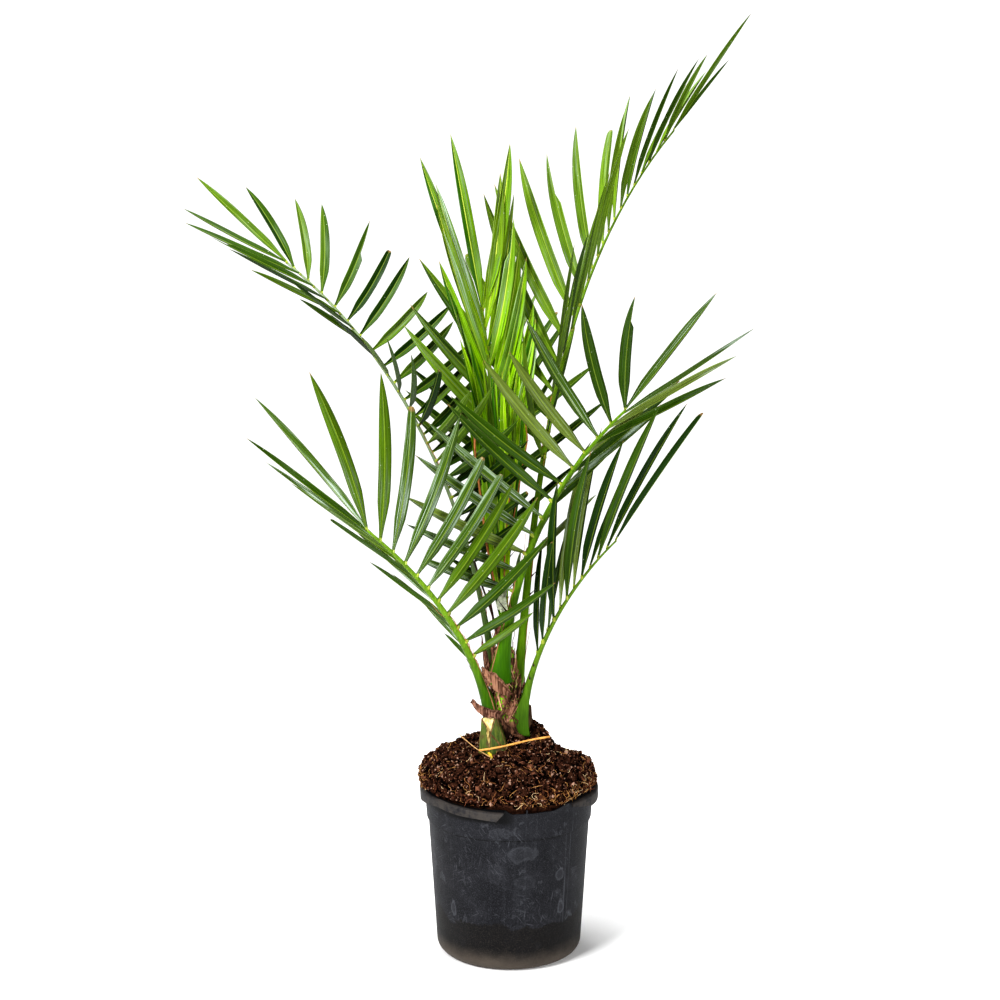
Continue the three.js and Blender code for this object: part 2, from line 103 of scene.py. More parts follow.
floor_shape = bmesh.new()
bmesh.ops.create_grid(floor_shape, x_segments=1, y_segments=1, size=FLOOR_HALF)
floor_mesh = bpy.data.meshes.new("floor")
floor_shape.to_mesh(floor_mesh)
floor_finish = bpy.data.materials.new("pale_floor")
floor_finish.use_nodes = True
floor_finish.node_tree.nodes["Principled BSDF"].inputs["Base Color"].default_value = FLOOR_COLOUR
floor_finish.node_tree.nodes["Principled BSDF"].inputs["Roughness"].default_value = 0.9
floor_mesh.materials.append(floor_finish)
floor = bpy.data.objects.new("floor", floor_mesh)
scene.collection.objects.link(floor)


# Pot wall: a thin moulded pot of black plastic that tapers to a rounded foot, with a band stepped out
# under the rim. It is spun from one outline, and its floor is pierced by six drain holes.
pot_low, pot_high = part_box("pot")
RIM_HEIGHT = pot_high.z
LIP_RADIUS = pot_high.x
RIM_RADIUS = LIP_RADIUS - 0.004
BAND_RADIUS = 0.0692
BODY_TOP_RADIUS = 0.0677
FOOT_RADIUS = 0.061
FOOT_CORNER = 0.010
STEP_HEIGHT = 0.118
STEP_RISE = 0.0008
WALL = 0.0016
POT_FLOOR = 0.0024
DRAIN_COUNT = 6
DRAIN_RADIUS = 0.0045
DRAIN_CIRCLE = 0.040
POT_STEPS = 160
TEAR_LEFT = 267.0
TEAR_RIGHT = -46.0
BREAK_DEPTH = 0.0034


def smooth_share(x):
    """Rises smoothly from 0 to 1 as x goes from 0 to 1."""
    x = min(max(x, 0.0), 1.0)
    return x * x * (3 - 2 * x)


def arc(centre_r, centre_z, radius, start, end, steps):
    """Points of a round stretch of an outline, from one angle to another in degrees."""
    angles = np.radians(np.linspace(start, end, steps + 1))
    return [(centre_r + radius * math.cos(a), centre_z + radius * math.sin(a)) for a in angles]


def in_order(shape):
    """Orders points and faces by place, as the operators may leave them in another order each run."""
    for number, v in enumerate(sorted(shape.verts, key=lambda v: v.co[:])):
        v.index = number
    shape.verts.sort()
    for number, face in enumerate(sorted(shape.faces, key=lambda f: sorted(v.index for v in f.verts))):
        face.index = number
    shape.faces.sort()


def spun(outline, steps, start=0.0, sweep=360.0, closed=False):
    """An outline of radius and height, turned round the upright axis."""
    shape = bmesh.new()
    turn = math.radians(start)
    points = [shape.verts.new((r * math.cos(turn), r * math.sin(turn), z)) for r, z in outline]
    pairs = list(zip(points, points[1:])) + ([(points[-1], points[0])] if closed else [])
    edges = [shape.edges.new(pair) for pair in pairs]
    bmesh.ops.spin(shape, geom=points + edges, cent=(0, 0, 0), axis=(0, 0, 1),
                   angle=math.radians(sweep), steps=steps, use_merge=sweep == 360)
    bmesh.ops.remove_doubles(shape, verts=shape.verts, dist=1e-6)
    bmesh.ops.holes_fill(shape, edges=[e for e in shape.edges if e.is_boundary], sides=0)
    bmesh.ops.recalc_face_normals(shape, faces=shape.faces)
    in_order(shape)
    return shape


def settle(name, mesh, finishes, nodes, sharp=None):
    """Adds a finished mesh to the plant's one body, standing for the given solids."""
    for finish in finishes:
        mesh.materials.append(finish)
    mesh.shade_smooth()
    if sharp:
        mesh.set_sharp_from_angle(angle=math.radians(sharp))
    piece = bpy.data.objects.new(name, mesh)
    scene.collection.objects.link(piece)
    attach(piece, "root")
    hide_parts(*nodes)
    return piece


def mesh_of(name, shape):
    mesh = bpy.data.meshes.new(name)
    shape.to_mesh(mesh)
    shape.free()
    return mesh


def finish_of(name, roughness, specular):
    """A new material, its node tree and its shader."""
    material = bpy.data.materials.new(name)
    material.use_nodes = True
    shader = material.node_tree.nodes["Principled BSDF"]
    shader.inputs["Roughness"].default_value = roughness
    shader.inputs["Specular IOR Level"].default_value = specular
    return material, material.node_tree, shader


def node(tree, kind, inputs, **settings):
    """A node with its settings. An input that is a socket is linked, any other value is set on it."""
    made = tree.nodes.new("ShaderNode" + kind)
    for key, value in settings.items():
        setattr(made, key, value)
    for key, value in inputs.items():
        if isinstance(value, bpy.types.NodeSocket):
            tree.links.new(value, made.inputs[key])
        else:
            made.inputs[key].default_value = value
    return made.outputs


def maths(tree, operation, a, b):
    return node(tree, "Math", {0: a, 1: b}, operation=operation)[0]


def ramp(tree, value, low, high):
    """Rises smoothly from 0 to 1 as the value goes from low to high."""
    limits = {"Value": value, "From Min": low, "From Max": high}
    return node(tree, "MapRange", limits, interpolation_type="SMOOTHSTEP")[0]


def layer(tree, share, under, over):
    """The under colour covered by the over colour to the given share."""
    return node(tree, "Mix", {0: share, 6: under, 7: over}, data_type="RGBA")[2]


def veil(tree, mask, strength, under, over):
    """The under colour covered by the over colour where the mask is 1, to the given strength."""
    return layer(tree, maths(tree, "MULTIPLY", mask, strength), under, over)


def grain(tree, place, scale, detail=4.0, roughness=0.6):
    inputs = {"Vector": place, "Scale": scale, "Detail": detail, "Roughness": roughness}
    return node(tree, "TexNoise", inputs)[0]


def bumped(tree, shader, height, strength, distance):
    inputs = {"Height": height, "Strength": strength, "Distance": distance}
    tree.links.new(node(tree, "Bump", inputs)[0], shader.inputs["Normal"])


def rgba(colour):
    return (*colour, 1)


def pot_finish():
    """Charcoal plastic, dusted above a washed tide line, with scuffs, dried drops and an earthy foot.

    Painted shadow darkens the wall under the lip and just under the band's step.
    """
    tide_height = 0.0415
    foot_dust_height = 0.022
    plastic = rgba((0.0029, 0.0031, 0.0045))
    dusted = rgba((0.0100, 0.0102, 0.0128))
    washed_and_shadow = rgba((0.0022, 0.0021, 0.0022))
    pale = rgba((0.085, 0.088, 0.100))
    earth = rgba((0.076, 0.062, 0.050))
    drops = [(-1.40, 0.1045, 0.0125, 0.0070, 0.12), (-0.87, 0.083, 0.0045, 0.0060, 0.20),
             (-0.84, 0.053, 0.0040, 0.0060, 0.24), (-2.38, 0.051, 0.0035, 0.0085, 0.24),
             (-1.35, 0.080, 0.0085, 0.0060, 0.05), (-1.75, 0.088, 0.0070, 0.0085, 0.05)]
    material, tree, shader = finish_of("dusty_black_plastic", 0.58, 0.11)
    place = node(tree, "TexCoord", {})["Object"]
    x, y, z = node(tree, "SeparateXYZ", {0: place})
    turn = maths(tree, "ARCTAN2", y, x)
    round_wall = maths(tree, "MULTIPLY", turn, BODY_TOP_RADIUS)
    unrolled = node(tree, "CombineXYZ", {0: round_wall, 1: z, 2: 0.0})[0]

    cloud = grain(tree, place, 45, 6, 0.65)
    colour = layer(tree, ramp(tree, cloud, 0.34, 0.72), plastic, dusted)
    band = ramp(tree, z, STEP_HEIGHT - 0.001, STEP_HEIGHT + 0.002)
    colour = veil(tree, band, 0.35, colour, dusted)
    # Painted shadow: a thin dark line just under the band's step, in the dark of the washed plastic.
    step_shadow_offset = maths(tree, "ABSOLUTE", maths(tree, "SUBTRACT", z, STEP_HEIGHT - 0.0012), 0.0)
    colour = veil(tree, ramp(tree, step_shadow_offset, 0.0012, 0.0004), 0.6, colour, washed_and_shadow)
    smudge = ramp(tree, grain(tree, place, 75, 9, 0.78), 0.55, 0.74)
    colour = veil(tree, smudge, 0.16, colour, pale)

    drips = node(tree, "Mapping", {"Vector": unrolled, "Scale": (330, 5, 1)})[0]
    drip = ramp(tree, grain(tree, drips, 1.0, 3, 0.5), 0.56, 0.68)
    wet_side = maths(tree, "ABSOLUTE", maths(tree, "ADD", turn, 0.84), 0.0)
    drip_share = maths(tree, "ADD", maths(tree, "MULTIPLY", ramp(tree, wet_side, 0.17, 0.10), 0.40), 0.05)
    colour = veil(tree, drip, drip_share, colour, pale)
    for angle, lengthwise in ((0.5, 60), (-0.9, 75), (1.35, 50), (-0.25, 70), (2.2, 80)):
        inputs = {"Vector": unrolled, "Rotation": (0, 0, angle), "Scale": (1 / lengthwise, 1 / 900, 1)}
        scratches = node(tree, "Mapping", inputs, vector_type="TEXTURE")[0]
        scratch = ramp(tree, grain(tree, scratches, 1.0, 2, 0.5), 0.62, 0.72)
        patch = ramp(tree, grain(tree, place, 26 + 9 * angle, 2), 0.50, 0.62)
        scuffed = maths(tree, "MULTIPLY", maths(tree, "MULTIPLY", scratch, patch), 0.40)
        colour = layer(tree, scuffed, colour, pale)
    for scale, level, share in ((34, 0.645, 0.17), (70, 0.66, 0.22)):
        drop = grain(tree, place, scale, 5, 0.6)
        outside = maths(tree, "MULTIPLY", ramp(tree, drop, level + 0.035, level + 0.006), 0.65)
        inside = ramp(tree, drop, level - 0.02, level)
        dried = maths(tree, "MULTIPLY", inside, maths(tree, "ADD", outside, 0.35))
        colour = veil(tree, dried, share, colour, pale)
    for drop_turn, drop_height, half_width, half_height, share in drops:
        turned = maths(tree, "SUBTRACT", turn, drop_turn)
        aside = maths(tree, "MULTIPLY", turned, BODY_TOP_RADIUS / half_width)
        above = maths(tree, "MULTIPLY", maths(tree, "SUBTRACT", z, drop_height), 1 / half_height)
        inputs = {0: node(tree, "CombineXYZ", {0: aside, 1: above, 2: 0.0})[0]}
        off = node(tree, "VectorMath", inputs, operation="LENGTH")["Value"]
        uneven = maths(tree, "SUBTRACT", grain(tree, place, 95), 0.5)
        off = maths(tree, "ADD", off, maths(tree, "MULTIPLY", uneven, 1.7))
        paler_rim = maths(tree, "ADD", ramp(tree, off, 0.45, 0.9), 0.6)
        dried = maths(tree, "MULTIPLY", ramp(tree, off, 1.06, 0.86), paler_rim)
        colour = veil(tree, dried, share, colour, pale)

    ragged = maths(tree, "MULTIPLY", maths(tree, "SUBTRACT", grain(tree, place, 42, 5, 0.6), 0.5), 0.034)
    tide = ramp(tree, maths(tree, "ADD", z, ragged), tide_height + 0.0012, tide_height - 0.0012)
    colour = veil(tree, tide, 0.88, colour, washed_and_shadow)
    foot = ramp(tree, maths(tree, "ADD", z, maths(tree, "MULTIPLY", ragged, 0.5)), foot_dust_height, 0.002)
    colour = veil(tree, foot, 0.8, colour, earth)
    speck = ramp(tree, grain(tree, place, 1500, 3, 0.7), 0.51, 0.70)
    colour = veil(tree, speck, 0.36, colour, layer(tree, tide, pale, earth))
    squares = [maths(tree, "MULTIPLY", side, side) for side in (x, y)]
    reach = maths(tree, "POWER", maths(tree, "ADD", *squares), 0.5)
    on_lip = ramp(tree, reach, RIM_RADIUS + 0.0010, RIM_RADIUS + 0.0018)
    worn = maths(tree, "MULTIPLY", on_lip, ramp(tree, grain(tree, place, 130, 6, 0.7), 0.30, 0.62))
    colour = veil(tree, worn, 0.85, colour, rgba((0.0420, 0.0365, 0.0322)))
    # Painted shadow: a near-black band on the wall under the lip, kept off the lip itself and left off over
    # the front around the tear.
    under_lip = maths(tree, "MULTIPLY", ramp(tree, z, RIM_HEIGHT - 0.0150, RIM_HEIGHT - 0.0105), 0.8)
    lip_shadow = maths(tree, "MULTIPLY", under_lip, ramp(tree, wet_side, 0.62, 0.75))
    colour = layer(tree, maths(tree, "SUBTRACT", lip_shadow, on_lip), colour, rgba((0.0012, 0.0012, 0.0013)))
    tree.links.new(colour, shader.inputs["Base Color"])
    height = maths(tree, "ADD", grain(tree, place, 900, 3), maths(tree, "MULTIPLY", cloud, 2.0))
    bumped(tree, shader, height, 0.35, 0.0005)
    return material


wall_outline = [(0, 0)]
wall_outline += arc(FOOT_RADIUS - FOOT_CORNER, FOOT_CORNER, FOOT_CORNER, -90, 0, 8)
wall_outline += [(BODY_TOP_RADIUS, STEP_HEIGHT - STEP_RISE), (BAND_RADIUS, STEP_HEIGHT)]
wall_outline += [(RIM_RADIUS, RIM_HEIGHT - STEP_RISE), (RIM_RADIUS - WALL, RIM_HEIGHT - STEP_RISE)]
wall_outline += [(BAND_RADIUS - WALL, STEP_HEIGHT), (BODY_TOP_RADIUS - WALL, STEP_HEIGHT - STEP_RISE)]
wall_outline += arc(FOOT_RADIUS - FOOT_CORNER, FOOT_CORNER, FOOT_CORNER - WALL, 0, -90, 6)
wall_outline += [(0, WALL)]
wall_shape = spun(wall_outline, POT_STEPS)
for v in wall_shape.verts:
    if v.co.z > RIM_HEIGHT - 2 * STEP_RISE:
        turn = math.degrees(math.atan2(v.co.y, v.co.x)) % 360
        broken = smooth_share((turn - TEAR_LEFT) / 5) * smooth_share((TEAR_RIGHT + 360 - turn) / 14)
        v.co.z -= broken * (BREAK_DEPTH + 0.0004 * noise.noise(v.co * 180))
plastic = pot_finish()
wall = settle("pot_wall", mesh_of("pot_wall", wall_shape), [plastic], ["pot"], 32)

drills = bmesh.new()
for hole in range(DRAIN_COUNT):
    turn = hole * math.tau / DRAIN_COUNT
    spot = Matrix.Translation((DRAIN_CIRCLE * math.cos(turn), DRAIN_CIRCLE * math.sin(turn), 0))
    bmesh.ops.create_cone(drills, cap_ends=True, segments=24, radius1=DRAIN_RADIUS, radius2=DRAIN_RADIUS,
                          depth=POT_FLOOR * 4, matrix=spot)
drill = bpy.data.objects.new("drill", mesh_of("drill", drills))
scene.collection.objects.link(drill)
cut = wall.modifiers.new("drain_holes", "BOOLEAN")
cut.object = drill
drilled = wall.evaluated_get(bpy.context.evaluated_depsgraph_get())
wall_mesh = bpy.data.meshes.new_from_object(drilled)
wall.modifiers.clear()
wall.data = wall_mesh
bpy.data.objects.remove(drill)


# Pot lip: the rim's turned-down edge, of the same plastic. Over the front it has torn away: it ends in a
# slanted tear on the left, where it hangs a little off the wall, and tapers out on the right.
LIP_DROP = 0.0105
LIP_THICKNESS = 0.0012
LIP_ROUND = 0.0028
TEAR_SLANT = 5.0
FLAP_SWEEP = 50.0
FLAP_STAND_OFF = 0.0016
FLAP_SINK = 0.55
LIP_REACH = [(-46, 0.30), (-22, 1.0), (170, 1.0), (192, 0.92), (217, 0.58), (240, 0.72), (267, 0.83)]

lip_outline = [(RIM_RADIUS - WALL, RIM_HEIGHT)]
lip_outline += arc(LIP_RADIUS - LIP_ROUND, RIM_HEIGHT - LIP_ROUND, LIP_ROUND, 90, 0, 6)
lip_outline += [(LIP_RADIUS, RIM_HEIGHT - LIP_DROP), (LIP_RADIUS - LIP_THICKNESS, RIM_HEIGHT - LIP_DROP)]
lip_outline += arc(LIP_RADIUS - LIP_ROUND, RIM_HEIGHT - LIP_ROUND, LIP_ROUND - LIP_THICKNESS, 0, 90, 6)
lip_outline += [(RIM_RADIUS - WALL, RIM_HEIGHT - LIP_THICKNESS)]
lip_shape = spun(lip_outline, POT_STEPS, TEAR_RIGHT, TEAR_LEFT - TEAR_RIGHT, closed=True)
for v in lip_shape.verts:
    turn = (math.degrees(math.atan2(v.co.y, v.co.x)) - TEAR_RIGHT + 1e-3) % 360 + TEAR_RIGHT
    down = (RIM_HEIGHT - v.co.z) / LIP_DROP
    reach = np.interp(turn, *zip(*LIP_REACH)) + 0.05 * noise.noise(v.co * 45)
    flap = smooth_share((turn - TEAR_LEFT + FLAP_SWEEP) / FLAP_SWEEP)
    crease = 0.0007 * noise.noise(v.co * 70)
    radius = math.hypot(v.co.x, v.co.y) + down * (flap * FLAP_STAND_OFF + crease)
    turn -= TEAR_SLANT * down * smooth_share((turn - TEAR_LEFT + 6) / 6)
    v.co.x = radius * math.cos(math.radians(turn))
    v.co.y = radius * math.sin(math.radians(turn))
    sunk = flap * (1 - down) * BREAK_DEPTH * FLAP_SINK
    v.co.z = RIM_HEIGHT - down * reach * LIP_DROP - sunk + crease * (1 - down)
settle("pot_lip", mesh_of("pot_lip", lip_shape), [plastic], ["pot"], 40)


# Mould seam: the fine upright ridge of plastic that the mould's joint leaves on the band, on two opposite
# sides. Each is a thin bar that follows the band's slope and is half sunk in it.
SEAM_TURN = -78.3
SEAM_WIDTH = 0.0011
SEAM_PROUD = 0.0005

seams = bmesh.new()
for turn in (SEAM_TURN, SEAM_TURN + 180):
    ridge = bmesh.ops.create_cube(seams, size=1.0)["verts"]
    for v in ridge:
        up = v.co.z + 0.5
        radius = BAND_RADIUS + (RIM_RADIUS - BAND_RADIUS) * up + (v.co.x + 0.5) * SEAM_PROUD * 2 - SEAM_PROUD
        height = STEP_HEIGHT + up * (RIM_HEIGHT - STEP_HEIGHT - STEP_RISE)
        v.co = Vector((radius, v.co.y * SEAM_WIDTH, height))
    bmesh.ops.rotate(seams, verts=ridge, cent=(0, 0, 0), matrix=Matrix.Rotation(math.radians(turn), 3, "Z"))
settle("pot_seam", mesh_of("pot_seam", seams), [plastic], ["pot"], 30)


# Peat: the damp root ball that fills the pot and is heaped over the rim, bulging past it all round. It is
# turned from one outline, swollen into lumps and roughened, and rises a little beside the stem.
BALL_FOOT = POT_FLOOR + 0.0003
BALL_WALL = RIM_RADIUS - WALL - 0.0003
HEAP_OUTLINE = [(BALL_WALL, RIM_HEIGHT), (0.0740, 0.1505), (0.0738, 0.1565), (0.0694, 0.1655),
                (0.058, 0.172), (0.042, 0.176), (0.028, 0.1785), (0.0, 0.180)]
HEAP_RINGS = 74
HEAP_STEPS = 300
LUMP_HEIGHT = 0.0032
MOUNDS = [((0.021, 0.008), 0.0095, 0.0175), ((0.030, -0.016), 0.013, 0.007), ((-0.036, 0.022), 0.017, 0.0085),
          ((0.004, -0.0185), 0.0055, 0.0125), ((0.052, 0.020), 0.014, -0.007),
          ((-0.046, 0.030), 0.017, -0.009), ((0.036, 0.046), 0.017, -0.010)]
peat_chance = np.random.default_rng(11)


def along_outline(outline, count):
    """The outline resampled at even steps along its length."""
    points = np.array(outline)
    run = np.concatenate([[0], np.cumsum(np.linalg.norm(np.diff(points, axis=0), axis=1))])
    even = np.linspace(0, run[-1], count)
    return list(zip(np.interp(even, run, points[:, 0]), np.interp(even, run, points[:, 1])))


def peat_finish():
    """Damp red-brown peat, with painted shade that darkens it to near black in the hollows between its lumps.
    """
    material, tree, shader = finish_of("damp_peat", 0.9, 0.01)
    place = node(tree, "TexCoord", {})["Object"]
    tint = ramp(tree, grain(tree, place, 320, 5, 0.7), 0.3, 0.7)
    colour = layer(tree, tint, rgba((0.0045, 0.0018, 0.0011)), rgba((0.050, 0.020, 0.011)))
    relief = node(tree, "Attribute", {}, attribute_name="relief")["Fac"]
    # Painted shade: where the relief is low, between the lumps, the peat is darkened to near black.
    colour = layer(tree, ramp(tree, relief, 0.10, -0.28), colour, rgba((0.0006, 0.0003, 0.0002)))
    tree.links.new(colour, shader.inputs["Base Color"])
    bumped(tree, shader, grain(tree, place, 1100, 4), 0.6, 0.0008)
    return material


def mound(x, y):
    return sum(h * math.exp(-((x - mx) ** 2 + (y - my) ** 2) / (2 * w * w)) for (mx, my), w, h in MOUNDS)


ball_outline = [(0, BALL_FOOT), (FOOT_RADIUS - FOOT_CORNER, BALL_FOOT)]
ball_outline += [(BODY_TOP_RADIUS - 2 * WALL, STEP_HEIGHT)]
heap = spun(ball_outline + along_outline(HEAP_OUTLINE, HEAP_RINGS), HEAP_STEPS)
heap.normal_update()
relief = heap.verts.layers.float.new("relief")
for v in heap.verts:
    lift = smooth_share((v.co.z - RIM_HEIGHT) / 0.006)
    if lift > 0:
        turn = math.atan2(v.co.y, v.co.x)
        swell = 1 + lift * (0.018 * math.sin(3 * turn - 1.2) + 0.012 * math.sin(7 * turn + 2) - 0.006)
        lumps = noise.fractal(v.co * 130, 0.8, 2.1, 4) + 0.50 * noise.noise(v.co * 480)
        v[relief] = lumps
        v.co = Vector((v.co.x * swell, v.co.y * swell, v.co.z + lift * mound(v.co.x, v.co.y)))
        v.co += v.normal * lumps * LUMP_HEIGHT * lift
heap_mesh = mesh_of("peat_heap", heap)
settle("peat_heap", heap_mesh, [peat_finish()], ["soil"])


# Crumbs: loose lumps of the same peat, lying on the heap. Each is a small ball knocked out of shape, and
# they are joined into three meshes, coarse to fine, in a few plain browns.
CRUMB_BROWNS = {"peat_black": (0.0018, 0.0006, 0.0004), "peat_brown": (0.044, 0.017, 0.0100),
                "peat_red": (0.125, 0.052, 0.030), "peat_grey": (0.290, 0.175, 0.125)}
CRUMB_SHARES = (0.48, 0.32, 0.12, 0.08)
CRUMBS = {"peat_crumbs": (1300, 2, 0.0007, 0.0019), "peat_grit": (9000, 1, 0.0005, 0.0011),
          "peat_dust": (9000, 1, 0.0004, 0.0009)}


def plain_finish(name, colour, roughness=0.8, specular=0.2, mottle=0.25, scale=400):
    """One base colour with a fine mottle."""
    material, tree, shader = finish_of(name, roughness, specular)
    place = node(tree, "TexCoord", {})["Object"]
    low, high = (rgba(tuple(c * k for c in colour)) for k in (1 - mottle, 1 + mottle))
    tree.links.new(layer(tree, ramp(tree, grain(tree, place, scale), 0.3, 0.7), low, high),
                   shader.inputs["Base Color"])
    return material


class Bundle:
    """Many small things joined into one mesh: vertices, faces, finish numbers and places on a blade."""

    def __init__(self):
        self.points, self.faces, self.finishes, self.places, self.count = [], [], [], [], 0

    def add(self, points, faces, finishes, places=None):
        """Finishes is one number for all faces, or a list with one for each."""
        self.points.append(np.asarray(points))
        if places is not None:
            self.places.append(places)
        self.faces.extend([[i + self.count for i in face] for face in faces])
        self.finishes.extend(finishes if isinstance(finishes, list) else [finishes] * len(faces))
        self.count += len(points)

    def mesh(self, name, outward=False):
        made = bpy.data.meshes.new(name)
        made.from_pydata(np.concatenate(self.points).tolist(), [], self.faces)
        made.polygons.foreach_set("material_index", self.finishes)
        if self.places:
            corners = np.zeros(len(made.loops), dtype=int)
            made.loops.foreach_get("vertex_index", corners)
            blade_places = np.concatenate(self.places)[corners].ravel()
            made.uv_layers.new(name="blade").uv.foreach_set("vector", blade_places)
        if outward:
            shape = bmesh.new()
            shape.from_mesh(made)
            bmesh.ops.recalc_face_normals(shape, faces=shape.faces)
            shape.to_mesh(made)
            shape.free()
        return made


def ball_of(fineness):
    """Points and faces of a ball of radius 1."""
    ball = bmesh.new()
    bmesh.ops.create_icosphere(ball, subdivisions=fineness, radius=1.0)
    points = np.array([v.co for v in ball.verts])
    faces = [[v.index for v in face.verts] for face in ball.faces]
    ball.free()
    return points, faces


def surface_of(mesh, lowest):
    """Centres, normals and areas of a mesh's faces above a height."""
    count = len(mesh.polygons)
    centres, normals, areas = np.zeros(count * 3), np.zeros(count * 3), np.zeros(count)
    mesh.polygons.foreach_get("center", centres)
    mesh.polygons.foreach_get("normal", normals)
    mesh.polygons.foreach_get("area", areas)
    centres, normals = centres.reshape(-1, 3), normals.reshape(-1, 3)
    kept = centres[:, 2] > lowest
    return centres[kept], normals[kept], areas[kept] / areas[kept].sum()


def turned_any_way(chance):
    axis = chance.normal(size=3)
    return np.array(Matrix.Rotation(chance.uniform(0, math.tau), 3, Vector(axis).normalized()))


heap_spots, heap_normals, heap_weights = surface_of(heap_mesh, RIM_HEIGHT + 0.003)
crumb_finishes = [plain_finish(name, colour, 0.8, 0.01) for name, colour in CRUMB_BROWNS.items()]
for crumb_name, (count, fineness, smallest, largest) in CRUMBS.items():
    ball_points, ball_faces = ball_of(fineness)
    crumbs = Bundle()
    for spot in peat_chance.choice(len(heap_spots), count, p=heap_weights):
        size = smallest + (largest - smallest) * peat_chance.random() ** 2
        knocked = ball_points * (1 + peat_chance.uniform(-0.6, 0.6, (len(ball_points), 1)))
        shaped = (knocked * peat_chance.uniform(0.45, 1.25, 3)) @ turned_any_way(peat_chance).T
        crumbs.add(heap_spots[spot] + heap_normals[spot] * size * 0.25 + shaped * size, ball_faces,
                   int(peat_chance.choice(4, p=CRUMB_SHARES)))
    settle(crumb_name, crumbs.mesh(crumb_name), crumb_finishes, ["soil"])


# Roots: fine dry feeder roots that lie in the peat, straw to red-brown, thick along the rim at the lower
# right and at the far left. Each is a thin bent strand, and they are joined into one mesh.
ROOT_TANS = {"root_straw": (0.46, 0.24, 0.080), "root_tan": (0.25, 0.105, 0.036),
             "root_pale": (0.66, 0.49, 0.28), "root_red": (0.17, 0.055, 0.024)}
ROOT_SHARES = (0.36, 0.32, 0.14, 0.18)
ROOT_SIDES = 4
MAT_REACH = 0.0645
MAT_TOP = 0.160
ROOTS_ANYWHERE = 400
ROOT_MATS = [(-0.75, 0.50, 90), (-1.60, 0.55, 50), (2.95, 0.55, 220), (0.6, 1.4, 120)]


def tube_faces(rings, sides):
    """Faces of a tube of rings of points, closed at both ends."""
    faces = []
    for i in range(rings - 1):
        for j in range(sides):
            low, high, after = i * sides, (i + 1) * sides, (j + 1) % sides
            faces.append([low + j, low + after, high + after, high + j])
    last = (rings - 1) * sides
    return faces + [list(range(sides))[::-1], list(range(last, last + sides))]


def strand(points, radii, sides):
    """A thin round strand along points, closed at both ends."""
    points, radii = np.asarray(points), np.asarray(radii)
    runs = np.gradient(points, axis=0)
    runs /= np.linalg.norm(runs, axis=1)[:, None]
    across = np.cross(runs[0], (0.31, 0.62, 0.72))
    rings = []
    for point, run, radius in zip(points, runs, radii):
        across = across - run * (across @ run)
        across /= np.linalg.norm(across)
        turns = np.arange(sides) * math.tau / sides
        ring = np.outer(np.cos(turns), across) + np.outer(np.sin(turns), np.cross(run, across))
        rings.append(point + ring * radius)
    return np.concatenate(rings), tube_faces(len(rings), sides)


def root_at(spot, normal, chance):
    """A bent root that lies on the heap at a spot, now and then lifting off it."""
    run = np.cross(normal, chance.normal(size=3))
    run /= np.linalg.norm(run)
    bend = np.cross(normal, run) * chance.uniform(-0.9, 0.9) + normal * chance.uniform(-0.25, 0.12)
    length = 0.003 + 0.010 * chance.random() ** 2
    steps = np.linspace(-0.5, 0.5, 9)[:, None]
    path = spot + normal * 0.0010 + run * steps * length + bend * (steps ** 2) * length
    wave = np.sin(steps * chance.uniform(5, 11) + chance.uniform(0, math.tau))
    path += np.cross(normal, run) * wave * length * chance.uniform(0.02, 0.08)
    path += chance.normal(scale=0.00022, size=path.shape)
    thick = chance.uniform(0.00010, 0.00024)
    return strand(path, thick * (1 - 0.5 * np.abs(steps[:, 0])), ROOT_SIDES)


root_chance = np.random.default_rng(23)
heap_turns = np.arctan2(heap_spots[:, 1], heap_spots[:, 0])
heap_reach = np.hypot(heap_spots[:, 0], heap_spots[:, 1])
roots = Bundle()
root_spots = list(root_chance.choice(len(heap_spots), ROOTS_ANYWHERE, p=heap_weights))
for turn, sweep, count in ROOT_MATS:
    off = np.abs((heap_turns - turn + math.pi) % math.tau - math.pi)
    near = (off < sweep) & (heap_reach > MAT_REACH) & (heap_spots[:, 2] < MAT_TOP)
    root_spots += list(root_chance.choice(np.flatnonzero(near), count))
for spot in root_spots:
    points, faces = root_at(heap_spots[spot], heap_normals[spot], root_chance)
    roots.add(points, faces, int(root_chance.choice(4, p=ROOT_SHARES)))
root_finishes = [plain_finish(name, colour, 0.7, 0.1) for name, colour in ROOT_TANS.items()]
settle("peat_roots", roots.mesh("peat_roots"), root_finishes, ["soil"])


# Straws: two dry stalks that lie on the peat in front of the stem, one thick and orange, one thin and pale,
# and the yellow tip of a young root below the front leaf base.
STRAWS = [((-0.0247, -0.0315, 0.1832), (0.0338, -0.0235, 0.1915), 0.00092, 0),
          ((-0.0432, 0.0060, 0.1850), (-0.0157, -0.0400, 0.1795), 0.00044, 1),
          ((-0.0170, -0.0300, 0.1810), (-0.0140, -0.0375, 0.1770), 0.00120, 2)]
STRAW_STEPS = 12

straws = Bundle()
for start, end, thick, tan in STRAWS:
    steps = np.linspace(0, 1, STRAW_STEPS)[:, None]
    path = np.array(start) * (1 - steps) + np.array(end) * steps
    path[:, 2] += 0.0008 * np.sin(steps[:, 0] * 5 + thick * 4000)
    points, faces = strand(path, thick * (0.85 + 0.25 * np.abs(np.sin(steps[:, 0] * 9))), 8)
    straws.add(points, faces, tan)
straw_finishes = [plain_finish("straw_orange", (0.62, 0.30, 0.075), 0.5),
                  plain_finish("straw_pale", (0.52, 0.31, 0.13), 0.6),
                  plain_finish("root_yellow", (0.60, 0.42, 0.030), 0.5)]
settle("straws", straws.mesh("straws"), straw_finishes, ["soil"])


